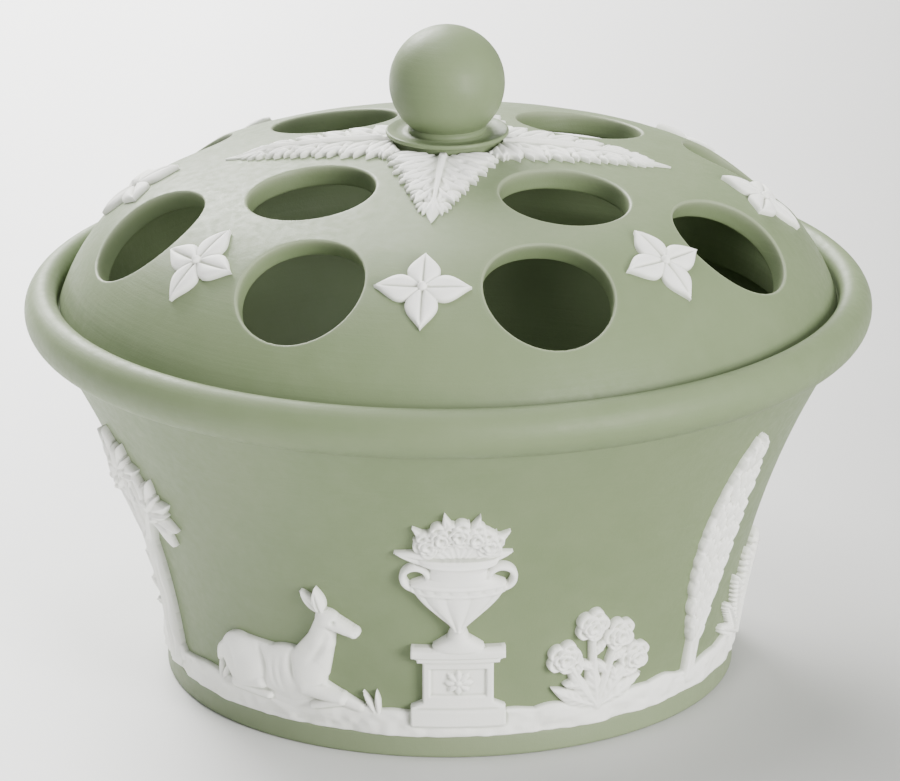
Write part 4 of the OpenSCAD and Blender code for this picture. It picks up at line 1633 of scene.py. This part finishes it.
@dataclass
class Bowl(Piece):
    """The flared bowl with its foot, rolled rim and gallery.

    A trim is what a rounded corner takes off the line beside it: degrees of an arc, or length of a flat.
    """

    segments: int = 320
    foot_rounds: tuple[float, ...] = (0.9, 0.8, 0.7, 0.42, 0.3)
    mouth_rounds: tuple[float, ...] = (0.35, 0.5, 0.9)
    tuck_round: float = 0.75
    foot_trim: float = 0.17
    head_trim: float = 0.4
    roll_trim: float = 14.0
    mouth_trim: float = 0.5
    flat_trim: float = 1.5
    # Strength and reach of the painted highlight on the foot band
    foot_highlight: float = 0.45
    foot_highlight_reach: Point = (0.5, 0.02)

    def outline(self) -> Array:
        """Section from the recess under the foot, up the outside, over the rim and down the inside.

        Returns:
            Distances from the axis and heights, one row a point.
        """
        f = BOWL
        mid, rim, inner = f.flare_mid, f.rim_mid, f.flare_r + f.wall
        floor = f.foot_recess + f.floor_t
        corner_z = floor + f.corner_r
        corner_r = mid[0] - math.sqrt((inner + f.corner_r) ** 2 - (mid[1] - corner_z) ** 2)
        corner = np.array([corner_r, corner_z])
        corner_end = mid + (corner - mid) * inner / (inner + f.corner_r)
        mouth_end = np.array([f.mouth_r, mid[1] + math.sqrt(inner**2 - (mid[0] - f.mouth_r) ** 2)])
        ring = f.foot_r - f.foot_ring_w
        axis, recess = np.array([0.0, f.foot_recess]), np.array([ring - f.foot_recess, f.foot_recess])
        tread, toe, band = np.array([ring, 0.0]), np.array([f.foot_r, 0.0]), np.array([f.foot_r, f.foot_h])
        ledge, mouth = np.array([f.gallery_r, f.ledge_z]), np.array([f.mouth_r, f.ledge_z])
        foot_turn, head_turn = turn_of(f.wall_foot - mid), turn_of(f.wall_head - mid)
        outside = arc(mid, f.flare_r, foot_turn - self.foot_trim, head_turn + self.head_trim, 70)
        touch = turn_of(f.lip_mid - rim)
        roll = arc(rim, f.roll_r, f.roll_tuck - 360.0 + self.roll_trim, touch, 50)
        lip = arc(f.lip_mid, f.lip_round, touch, 180.0, 24)
        inside = arc(mid, inner, turn_of(mouth_end - mid) + self.mouth_trim, turn_of(corner_end - mid), 40)
        return np.concatenate([
            np.linspace(axis, recess - [self.flat_trim, 0.0], 12),
            softened([axis, recess, tread, toe, band, f.wall_foot, outside[0]], self.foot_rounds),
            outside,
            rounded(f.wall_head, outside[-1], roll[0], self.tuck_round, 7),
            roll,
            lip[1:],
            softened([lip[-1], ledge, mouth, mouth_end, inside[0]], self.mouth_rounds),
            inside,
            arc(corner, f.corner_r, turn_of(corner_end - corner), -90.0, 14)[1:],
            np.linspace([corner[0] - self.flat_trim, floor], [0.0, floor], 14),
        ])

    def build(self) -> bpy.types.Object:
        """Turns the section, with a painted highlight that makes the foot band paler.

        Returns:
            The new object.
        """
        outline = self.outline()
        # Painted highlight on the outer face of the foot band
        inward, up = self.foot_highlight_reach
        highlit_band = (outline[:, 0] > BOWL.foot_r - inward) & (outline[:, 1] < BOWL.foot_h + up)
        return turned("bowl_clay", outline, self.segments, np.where(highlit_band, self.foot_highlight, 0.0))


@dataclass
class Knob(Piece):
    """The ball on its saucer collar."""

    ball_r: float = 9.5
    ball_mid: float = 99.8
    collar_r: float = 10.1
    foot_r: float = 8.8
    lip: float = 91.1
    lip_t: float = 0.8
    lip_w: float = 0.75
    lip_fall: float = 0.12
    dish_inset: float = 0.6
    flat_trim: float = 0.5
    bead_r: float = 0.75
    rounds: tuple[float, ...] = (0.15, 0.25, 0.34, 0.36, 0.4, 0.6)
    segments: int = 200

    def outline(self) -> Array:
        """Section from under the foot, round the lip, across the dish and bead and over the ball.

        Returns:
            Distances from the axis and heights, one row a point.
        """
        top, dish = self.lip + self.lip_t, self.lip + self.lip_t / 2
        under = float(DOME.surface(np.array([self.foot_r]), SLIP_T)[0][0])
        ball = np.array([0.0, self.ball_mid])
        out = math.sqrt((self.ball_r + self.bead_r / 3) ** 2 - (self.ball_mid - top) ** 2)
        bead = np.array([out, top])
        far = float(np.linalg.norm(ball - bead))
        opening = math.acos((far**2 + self.bead_r**2 - self.ball_r**2) / (2 * far * self.bead_r))
        meet = turn_of(ball - bead) - math.degrees(opening)
        start = -math.degrees(math.asin((top - dish) / self.bead_r))
        bead_arc = arc(bead, self.bead_r, start, meet, 10)
        path = [
            np.array([0.0, under]),
            np.array([self.foot_r, under]),
            np.array([self.foot_r, self.lip]),
            np.array([self.collar_r, self.lip]),
            np.array([self.collar_r, top]),
            np.array([self.collar_r - self.lip_w, top - self.lip_fall]),
            np.array([self.foot_r - self.dish_inset, dish]),
            bead_arc[0],
        ]
        ball_arc = arc(ball, self.ball_r, turn_of(bead_arc[-1] - ball), 90.0, 80)
        axis = np.linspace([0.0, under], [self.foot_r - self.flat_trim, under], 5)
        return np.concatenate([axis, softened(path, self.rounds), bead_arc, ball_arc[1:]])

    def build(self) -> bpy.types.Object:
        """Turns the section."""
        return turned("knob_clay", self.outline(), self.segments)


@dataclass
class Lid(Piece):
    """The domed lid with its two rings of holes, bored square to the dome and rounded at both ends."""

    hole_r: float = 10.5
    fillet: float = 0.5
    back_fillet: float = 0.4
    outer_pitch: float = DOME.edge_r - 12.5
    inner_pitch: float = 29.0
    cuts: Triple = (16.5, 40.9, 61.6)
    back_cuts: Triple = (16.2, 39.45, 57.75)
    flange_gap: float = 1.2
    flange_t: float = 2.6
    flange_h: float = 4.5
    flange_root: float = 1.1
    flange_turn: float = 14.0
    band_rounds: tuple[float, ...] = (0.5, 0.3, 0.5, 0.5, 1.2)
    search: Point = (-14.0, 8.0)
    halvings: int = 36
    steps: int = 24
    rises: int = 10

    def loop(self, low: float, high: float, half: float, steps: int) -> Array:
        """Edge of one hole's share of the lid, in plan: two arcs about the axis and two straight sides.

        Args:
            low: Radius of the inner arc.
            high: Radius of the outer arc.
            half: Half the angle that the share takes, in degrees.
            steps: Number of steps along each arc.

        Returns:
            Distances across and out, one row a point.
        """
        turns = np.radians(np.linspace(-half, half, steps + 1))
        reach = np.linspace(low, high, self.rises + 1)
        first, last = np.full(self.rises, turns[0]), np.full(self.rises, turns[-1])
        turn = np.concatenate([turns[:-1], last, turns[:0:-1], first])
        far = np.concatenate([np.full(steps, low), reach[:-1], np.full(steps, high), reach[:0:-1]])
        return np.stack([far * np.sin(turn), far * np.cos(turn)], axis=1)

    def bored(self, pitch: float, rho: float, theta: Array, out: float, lift: Array | float) -> Array:
        """Points round a bore at a lift above a dome, found by halving the range of places along the axis.

        Args:
            pitch: Distance of the bore from the lid's axis.
            rho: Distance from the bore's axis.
            theta: Turns about the bore's axis, in radians.
            out: Distance of the dome outside the lid's face.
            lift: Distance along the bore above that dome.

        Returns:
            Distances across and out, and heights, one row a point.
        """
        lean, floor = DOME.lean(pitch), float(DOME.surface(np.array([pitch]))[0][0])
        x = rho * np.cos(theta)
        y = pitch + rho * np.sin(theta) * math.cos(lean)
        z = floor - rho * np.sin(theta) * math.sin(lean)
        low, high = (np.full_like(x, end) for end in self.search)
        for _ in range(self.halvings):
            t = (low + high) / 2
            above = z + t * math.cos(lean) > DOME.surface(np.hypot(x, y + t * math.sin(lean)), out)[0]
            low, high = np.where(above, low, t), np.where(above, t, high)
        t = (low + high) / 2 + lift
        return np.stack([x, y + t * math.sin(lean), z + t * math.cos(lean)], axis=-1)

    def laid(self, plan: Array, out: float = 0.0) -> Array:
        """Points of a plan drawing on the dome, or on one at a distance outside it."""
        return np.column_stack([plan, DOME.surface(np.hypot(plan[:, 0], plan[:, 1]), out)[0]])

    def cell(self, pitch: float, half: float, steps: int, ring: int) -> tuple[Array, Array]:
        """Rings of points from the edge of a hole's share, through the hole, to the same edge underneath.

        Args:
            pitch: Distance of the hole from the lid's axis.
            half: Half the angle of its share, in degrees.
            steps: Number of steps along each arc of its edge.
            ring: Number of the ring of holes, 0 for the inner one.

        Returns:
            Points by ring and place, and how much painted highlight each ring gets, most on the rounded edge
            of the hole.
        """
        lean, r = DOME.lean(pitch), self.hole_r
        edge = self.loop(self.cuts[ring], self.cuts[ring + 1], half, steps)
        back = self.loop(self.back_cuts[ring], self.back_cuts[ring + 1], half, steps)
        theta = np.arctan2((edge[:, 1] - pitch) / math.cos(lean), edge[:, 0])
        f, g, thick = self.fillet, self.back_fillet, DOME.thick
        mouth = self.bored(pitch, r + f, theta, 0.0, 0.0)[:, :2]
        rows = [self.laid(mouth + (edge - mouth) * share) for share in np.linspace(1.0, 0.0, 13) ** 1.2]
        # Painted highlight on the hole's rounded top edge, fading down the bore
        painted_highlight = [0.0] * 12 + [0.2]
        for turn in np.radians(np.linspace(15.0, 90.0, 6)):
            rho, lift = r + f * (1 - math.sin(turn)), -f * (1 - math.cos(turn))
            rows.append(self.bored(pitch, rho, theta, 0.0, lift))
            painted_highlight.append(1.0)
        start, end = self.bored(pitch, r, theta, 0.0, -f), self.bored(pitch, r, theta, -thick, g)
        rows += [start + (end - start) * share for share in (0.2, 0.4, 0.6, 0.8, 1.0)]
        painted_highlight += [0.4, 0.1, 0.0, 0.0, 0.0]
        for turn in np.radians(np.linspace(67.5, 0.0, 4)):
            rho, lift = r + g * (1 - math.sin(turn)), g * (1 - math.cos(turn))
            rows.append(self.bored(pitch, rho, theta, -thick, lift))
        under = rows[-1][:, :2]
        rows += [self.laid(under + (back - under) * share, -thick) for share in np.linspace(0.0, 1.0, 7)[1:]]
        painted_highlight += [0.0] * 10
        return np.stack(rows), np.array(painted_highlight)

    def band(self) -> Array:
        """Section outside the holes: the shoulder's end, the plain edge, the seat and the flange.

        Returns:
            Distances from the axis and heights, one row a point.
        """
        d, small = DOME, DOME.shoulder_r - DOME.thick
        mid, seat = d.shoulder_mid, d.ledge_z
        start = math.degrees(math.acos((self.cuts[2] - mid[0]) / d.shoulder_r))
        back = math.degrees(math.acos((self.back_cuts[2] - mid[0]) / small))
        out = BOWL.mouth_r - self.flange_gap
        flange, rim = out - self.flange_t, seat - self.flange_h
        end = d.edge_turn + self.flange_turn
        path = [
            d.edge_top,
            np.array([d.edge_r, seat]),
            np.array([out, seat]),
            np.array([out, rim]),
            np.array([flange, rim]),
            np.array([flange, seat - self.flange_root]),
            mid + small * toward(end),
        ]
        face = arc(mid, d.shoulder_r, start, d.edge_turn, 12)
        return np.concatenate([face, softened(path, self.band_rounds), arc(mid, small, end, back, 2)])

    def build(self) -> bpy.types.Object:
        """Joins the holes' shares, the crown's two faces and the outer band.

        Returns:
            The new object.
        """
        grids: list[Array] = []
        painted_highlight: list[Array] = []
        plans = [(self.inner_pitch, 4, 2 * self.steps, 0), (self.outer_pitch, 8, self.steps, 1)]
        for pitch, holes, steps, ring in plans:
            rows, edge = self.cell(pitch, 180.0 / holes, steps, ring)
            x, y, z = rows[..., 0], rows[..., 1], rows[..., 2]
            for k in range(holes):
                turn = 2 * math.pi * (k + 0.5) / holes
                c, s = math.cos(turn), math.sin(turn)
                grids.append(np.stack([x * c + y * s, x * s - y * c, z], axis=-1))
                painted_highlight.append(np.repeat(edge, rows.shape[1]))
        front, back = np.linspace(0.0, self.cuts[0], 15), np.linspace(0.0, self.back_cuts[0], 8)
        sections = [
            np.column_stack([front, DOME.surface(front)[0]]),
            np.column_stack([back, DOME.surface(back, -DOME.thick)[0]])[::-1],
            self.band(),
        ]
        for section in sections:
            grids.append(revolve(section, 8 * self.steps))
            painted_highlight.append(np.zeros(len(section) * 8 * self.steps))
        first = np.cumsum([0] + [len(w) for w in painted_highlight])
        faces = [grid_faces(*grid.shape[:2], first[k], closed=True) for k, grid in enumerate(grids)]
        points = np.concatenate([grid.reshape(-1, 3) for grid in grids])
        # The edge value sets the painted highlight round the holes
        return make_object("lid_clay", points, faces, weld=0.004, values={"edge": np.concatenate(painted_highlight)})


@dataclass
class Sprig(Piece):
    """A moulded relief on the clay, drawn on a plane of its own."""

    turn: float = 0.0
    cell: ClassVar[float] = 0.115

    @abstractmethod
    def draw(self, u: Array, v: Array) -> Relief:
        """Lays the relief's forms at points of its plane."""

    @abstractmethod
    def box(self) -> Box:
        """Lowest u, highest u, lowest v and highest v of the drawing."""

    @abstractmethod
    def place(self, u: Array, v: Array, height: Array) -> Array:
        """Puts points of the plane, at a height above the clay, in the CAD frame."""

    def build(self) -> bpy.types.Object:
        """Cuts the relief out and puts it on the clay."""
        return relief_object(f"{self.node}_relief", self.draw, self.box(), self.cell, self.place)


@dataclass
class AcanthusLeaf(Sprig):
    """A saw-edged leaf laid on the crown, pointing out from the knob.

    Each tooth of a lobe has a swing from the lobe's way, in degrees, and a share of the lobe's length.
    """

    start: float = 9.2
    long: float = 27.5
    width: float = 19.0
    lobes: int = 6
    teeth: tuple[Point, ...] = ((32.0, 0.74), (-26.0, 0.8), (14.0, 0.88), (0.0, 1.0))
    base_root: Point = (2.5, 8.4)
    base_tip: Point = (8.7, 9.8)
    base_w: float = 3.2
    thin_long: float = 7.0
    thin_least: float = 0.35
    collar_r: float = 10.6
    collar_h: float = 1.2
    half_box: float = 10.6

    def reach(self, t: float) -> float:
        """Half width over the lobes, at a share of the leaf's length."""
        return self.width / 2 * (1 - t) ** 0.85 * (1 - 0.08 * (1 - t) ** 8)

    def lobe(self, relief: Relief, root: Array, tip: Array, side: float, wide: float) -> None:
        """Lays one lobe: a swelling body that rises to its tip, with a row of teeth along its outer end.

        Args:
            relief: What it is laid on.
            root: Where it leaves the middle rib.
            tip: Where its longest tooth ends.
            side: 1 for the right half of the leaf, -1 for the left.
            wide: Its width.
        """
        way, far = turn_of(tip - root), float(np.linalg.norm(tip - root))
        size = (far * 0.94, wide)
        relief.blade(tuple(root), way, size, 0.25, 0.7, belly=0.62, tilt=0.4, rib=-0.25, fine=0.08, twin=0.3)
        for swing, share in self.teeth:
            base = tuple(root + 0.4 * far * toward(way - side * swing * 0.5))
            size = (far * (share - 0.34), 0.55 + wide * 0.24)
            tooth = way - side * swing
            relief.blade(base, tooth, size, 0.25, 0.75, belly=0.5, tilt=0.15, rib=0.12, fine=0.12)

    def draw(self, u: Array, v: Array) -> Relief:
        """Lays a low lobe by the knob, lobes from the tip back with eyes between them, and the middle rib.

        Args:
            u: Distances across.
            v: Distances out from the lid's axis.

        Returns:
            The relief.
        """
        relief = Relief(u, v)
        end, parts = self.start + self.long, self.lobes + 0.5
        half = self.width * 0.25 * np.clip(1 - (v - self.start) / self.long, 0.0, 1.0) ** 0.85
        relief.block((self.start * 0.9, end - 3.0), half, 0.45, 0.6, 0.5)
        for side in (-1.0, 1.0):
            mirror = np.array([side, 1.0])
            self.lobe(relief, mirror * self.base_root, mirror * self.base_tip, side, self.base_w)
        relief.blade((0.0, end - 8.0), 90.0, (8.0, 2.4), 0.3, 1.1, rib=0.15, belly=0.35)
        for i in range(self.lobes - 1, -1, -1):
            tip_t = (i + 0.75) / parts
            root = np.array([0.0, self.start + self.long * max((i - 0.75) / parts, -0.05)])
            for side in (-1.0, 1.0):
                tip = np.array([side * self.reach(tip_t), self.start + self.long * tip_t])
                self.lobe(relief, root, tip, side, 1.4 + 2.9 * (1 - tip_t) ** 0.8)
        for i in range(1, self.lobes):
            t = (i - 0.1) / parts
            for side in (-1.0, 1.0):
                eye = (side * self.reach(t) * 0.42, self.start + self.long * t)
                relief.dent(eye, 0.35 + 0.3 * (1 - t), 0.7)
        relief.limb((0.0, self.start), (0.0, end - 2.0), (0.7, 0.2), 0.6, 1.45, 0.3)
        relief.height = relief.height * np.clip((end - v) / self.thin_long, self.thin_least, 1.0)
        far = np.hypot(u, v)
        relief.dist = np.maximum(relief.dist, self.start - far)
        under = np.minimum(relief.height, self.collar_h)
        relief.height = np.where(far < self.collar_r, under, relief.height)
        return relief

    def box(self) -> Box:
        """Half box on each side, from under the knob to past the tip."""
        return -self.half_box, self.half_box, self.start - 3.0, self.start + self.long + 1.0

    def place(self, u: Array, v: Array, height: Array) -> Array:
        """Lays points on the crown."""
        return DOME.place(u, v, height, self.turn)


@dataclass
class Floret(Sprig):
    """Four pointed petals round a boss, set by hand between two holes of the outer ring."""

    slip: Point = (0.0, 0.0)
    pitch: float = DOME.edge_r - 13.4
    span: float = 15.6
    petal_w: float = 5.2

    def draw(self, u: Array, v: Array) -> Relief:
        """Lays four petals, each with a groove along it and two swelling halves, and the boss.

        Args:
            u: Distances across.
            v: Distances along the meridian.

        Returns:
            The relief.
        """
        relief = Relief(u, v)
        size = (self.span / 2, self.petal_w)
        for turn in (0.0, 90.0, 180.0, 270.0):
            relief.blade(
                (0.0, 0.0), turn, size, 0.5, 1.0, belly=0.44, tip=1.55, rib=-0.4, fine=0.05, twin=0.3
            )
        relief.oval((0.0, 0.0), (1.15, 1.15), 0.0, 0.4, 0.6)
        relief.oval((0.0, 0.0), (0.78, 0.78), 0.0, 0.6, 1.8)
        return relief

    def box(self) -> Box:
        """Square that takes in the petals."""
        half = self.span / 2 + 0.5
        return -half, half, -half, half

    def place(self, u: Array, v: Array, height: Array) -> Array:
        """Wraps points on the shoulder, where the floret's slip puts them."""
        turn = self.turn + math.degrees(self.slip[0] / self.pitch)
        return DOME.wrap(u, v - self.slip[1], self.pitch, height, turn)


@dataclass
class FriezeSprig(Sprig):
    """One motif of the frieze with its strip of ground, wrapped on the bowl's flare."""

    design: Design = field(kw_only=True)
    bold: float = 1.2
    cell: ClassVar[float] = 0.14

    def half(self, v: Array) -> Array:
        """Half width of the sprig's share of the way round, at heights above the table."""
        return BOWL.wall_radius(v) * math.sin(math.radians(self.design.span / 2))

    def draw(self, u: Array, v: Array) -> Relief:
        """Lays ground and motif, and cuts both to the sprig's share of the way round.

        Args:
            u: Distances across.
            v: Heights above the table.

        Returns:
            The relief.
        """
        relief = Relief(u, v)
        relief.ground(self.design.span, self.turn)
        self.design.draw(relief)
        relief.height = relief.height * self.bold
        relief.dist = np.maximum(relief.dist, BOWL.foot_h + SLIP_T - v)
        relief.cut(np.abs(u) - self.half(v))
        return relief

    def box(self) -> Box:
        """The sprig's share at its top, from under the ground."""
        reach = float(self.half(np.array([self.design.top]))[0]) + 0.5
        return -reach, reach, BOWL.foot_h - 0.6, self.design.top

    def place(self, u: Array, v: Array, height: Array) -> Array:
        """Wraps points on the wall."""
        return BOWL.place(u, v, height, self.turn)


def make_pieces() -> list[Piece]:
    """Lists every piece of the vase, with the place that the CAD model gives it.

    Returns:
        The pieces, clay first.
    """
    pieces: list[Piece] = [
        Bowl("bowl", Body.VASE, Slot.CLAY),
        Lid("lid", Body.LID, Slot.CLAY),
        Knob("knob", Body.LID, Slot.CLAY),
    ]
    longs = (25.0, 27.5, 27.0, 27.5)
    slips = ((0.0, 0.0), (1.5, 0.1), (1.7, 1.0), (1.4, 4.0), (0.5, 1.4), (-1.4, 4.0), (-1.7, 0.6), (0.0, 1.6))
    for k, long in enumerate(longs):
        name = f"acanthus_leaf_{k + 1}"
        pieces.append(AcanthusLeaf(name, Body.LID, Slot.WHITE, turn=90.0 * k, long=long))
    for k, slip in enumerate(slips):
        pieces.append(Floret(f"floret_{k + 1}", Body.LID, Slot.WHITE, turn=45.0 * k, slip=slip))
    first_turn = 6.0
    spans = [design.span for _, design in DESIGNS]
    for run in range(2):
        for k, (motif, design) in enumerate(DESIGNS):
            turn = first_turn + sum(spans[:k]) + spans[k] / 2 - spans[0] / 2 + 180.0 * run
            name = f"{motif}_sprig_{run + 1}"
            pieces.append(FriezeSprig(name, Body.VASE, Slot.WHITE, design=design, turn=turn))
    return pieces


# Studio


@dataclass(frozen=True)
class Lamp:
    """A square soft light, with its place and side in metres."""

    name: str
    at: Triple
    size: float
    watts: float
    colour: Triple

    def build(self, aim: Triple) -> None:
        """Adds the light.

        Args:
            aim: What it points at, in metres.
        """
        light = bpy.data.lights.new(self.name, "AREA")
        light.size, light.energy, light.color = self.size, self.watts, self.colour
        obj = bpy.data.objects.new(self.name, light)
        obj.location = self.at
        obj.rotation_euler = (Vector(aim) - Vector(self.at)).to_track_quat("-Z", "Y").to_euler()
        bpy.context.scene.collection.objects.link(obj)


@dataclass(frozen=True)
class Eye:
    """The camera: a long lens on a circle about the vase, with angles in degrees and lengths in metres."""

    turn: float = 4.5
    rise: float = 18.74
    far: float = 1.0209
    pivot: float = 0.05
    aim: float = 0.0465
    roll: float = -0.3
    lens_mm: float = 245.9
    sensor_mm: float = 36.0
    shift: float = 0.0015

    def build(self) -> None:
        """Sets the camera at the photograph's viewing angle."""
        turn, rise = math.radians(self.turn), math.radians(self.rise)
        level_far = self.far * math.cos(rise)
        at = Vector((
            level_far * math.sin(turn),
            -level_far * math.cos(turn),
            self.pivot + self.far * math.sin(rise),
        ))
        lens = bpy.data.cameras.new("camera")
        lens.lens, lens.sensor_width, lens.shift_x = self.lens_mm, self.sensor_mm, self.shift
        lens.clip_start, lens.clip_end = 0.05, 20.0
        obj = bpy.data.objects.new("camera", lens)
        obj.location = at
        level = (Vector((0.0, 0.0, self.aim)) - at).to_track_quat("-Z", "Y")
        obj.rotation_euler = (level @ Quaternion((0.0, 0.0, 1.0), math.radians(self.roll))).to_euler()
        bpy.context.scene.collection.objects.link(obj)
        bpy.context.scene.camera = obj


@dataclass(frozen=True)
class Studio:
    """Pale paper sweep with painted shade that darkens it towards the right, soft lights and the camera.

    The room's light and the painted shade on the paper both change from left to right, each over a range of
    its own.
    """

    front: float = -2600.0
    bend_y: float = 1400.0
    bend_r: float = 700.0
    wall_top: float = 2600.0
    half_w: float = 3000.0
    floor_gap: float = 100.0
    columns: int = 9
    paper_rough: float = 0.85
    pale: Colour = (0.97, 0.97, 0.97, 1.0)
    # Colour of the painted shade on the right of the paper, and the range it spreads over
    paper_shade: Colour = (0.44, 0.44, 0.43, 1.0)
    shade_half: float = 0.09
    air: Colour = (0.98, 0.99, 1.0, 1.0)
    room: Point = (0.30, 1.02)
    room_half: float = 0.8
    aim: Triple = (0.0, 0.0, 0.05)
    lamps: tuple[Lamp, ...] = (
        Lamp("key", (-0.40, 0.74, 0.60), 0.50, 27.0, (1.0, 0.99, 0.97)),
        Lamp("fill", (1.00, -1.00, 0.36), 0.60, 34.0, (1.0, 0.99, 0.97)),
        Lamp("top", (-0.25, 0.10, 1.10), 0.7, 10.6, (1.0, 1.0, 1.0)),
    )
    eye: Eye = Eye()

    def sweep(self) -> None:
        """Lays the floor that curves up into a wall: line, quarter circle and line, drawn out sideways."""
        bend = arc(np.array([self.bend_y, self.bend_r]), self.bend_r, -90.0, 0.0, 24)
        floor = np.linspace([self.front, 0.0], [self.bend_y - self.floor_gap, 0.0], 12)
        section = np.concatenate([floor, bend, [[self.bend_y + self.bend_r, self.wall_top]]])
        x, y, z = np.linspace(-self.half_w, self.half_w, self.columns), section[:, :1], section[:, 1:]
        points = np.stack(np.broadcast_arrays(x, y, z), axis=-1).reshape(-1, 3)
        obj = make_object("studio_floor", points, [grid_faces(len(section), self.columns)], outward=False)
        made, graph, shader = new_material("studio_paper")
        position = graph.add("ShaderNodeTexCoord").outputs["Object"]
        across = graph.add("ShaderNodeSeparateXYZ", vector=position).outputs[0]
        fibre = graph.span(graph.noise(position, 9.0, 3.0), 0.3, 0.7, -0.02, 0.02)
        # Painted shade: the paper goes from pale on the left to the darker shade colour on the right
        shade_share = graph.math("ADD", graph.span(across, -self.shade_half, self.shade_half, 0.0, 1.0), fibre)
        graph.feed(shader.inputs["Base Color"], graph.mix(shade_share, self.pale, self.paper_shade))
        graph.feed(shader.inputs["Roughness"], self.paper_rough)
        obj.data.materials.append(made)

    def light(self) -> None:
        """Adds the lamps, in a room that is dimmer on the left."""
        for lamp in self.lamps:
            lamp.build(self.aim)
        world = bpy.data.worlds.new("room")
        world.use_nodes = True
        graph, back = Graph(world.node_tree), world.node_tree.nodes["Background"]
        way = graph.add("ShaderNodeTexCoord").outputs["Generated"]
        across = graph.add("ShaderNodeSeparateXYZ", vector=way).outputs[0]
        graph.feed(back.inputs[0], self.air)
        graph.feed(back.inputs[1], graph.span(across, -self.room_half, self.room_half, *self.room))
        bpy.context.scene.world = world

    def build(self) -> None:
        """Builds the sweep, the lights and the camera."""
        self.sweep()
        self.light()
        self.eye.build()


def main() -> None:
    """Builds, dresses and lights the vase."""
    logging.basicConfig(level=logging.INFO)
    effects = Effects(clay_tone(), clay_grain(), turning_lines())
    finishes = {Slot.CLAY: GREEN.material(effects), Slot.WHITE: WHITE.material(effects)}
    for piece in make_pieces():
        piece.dress(piece.build(), finishes[piece.slot])
    Studio().build()


if __name__ == "__main__":
    main()
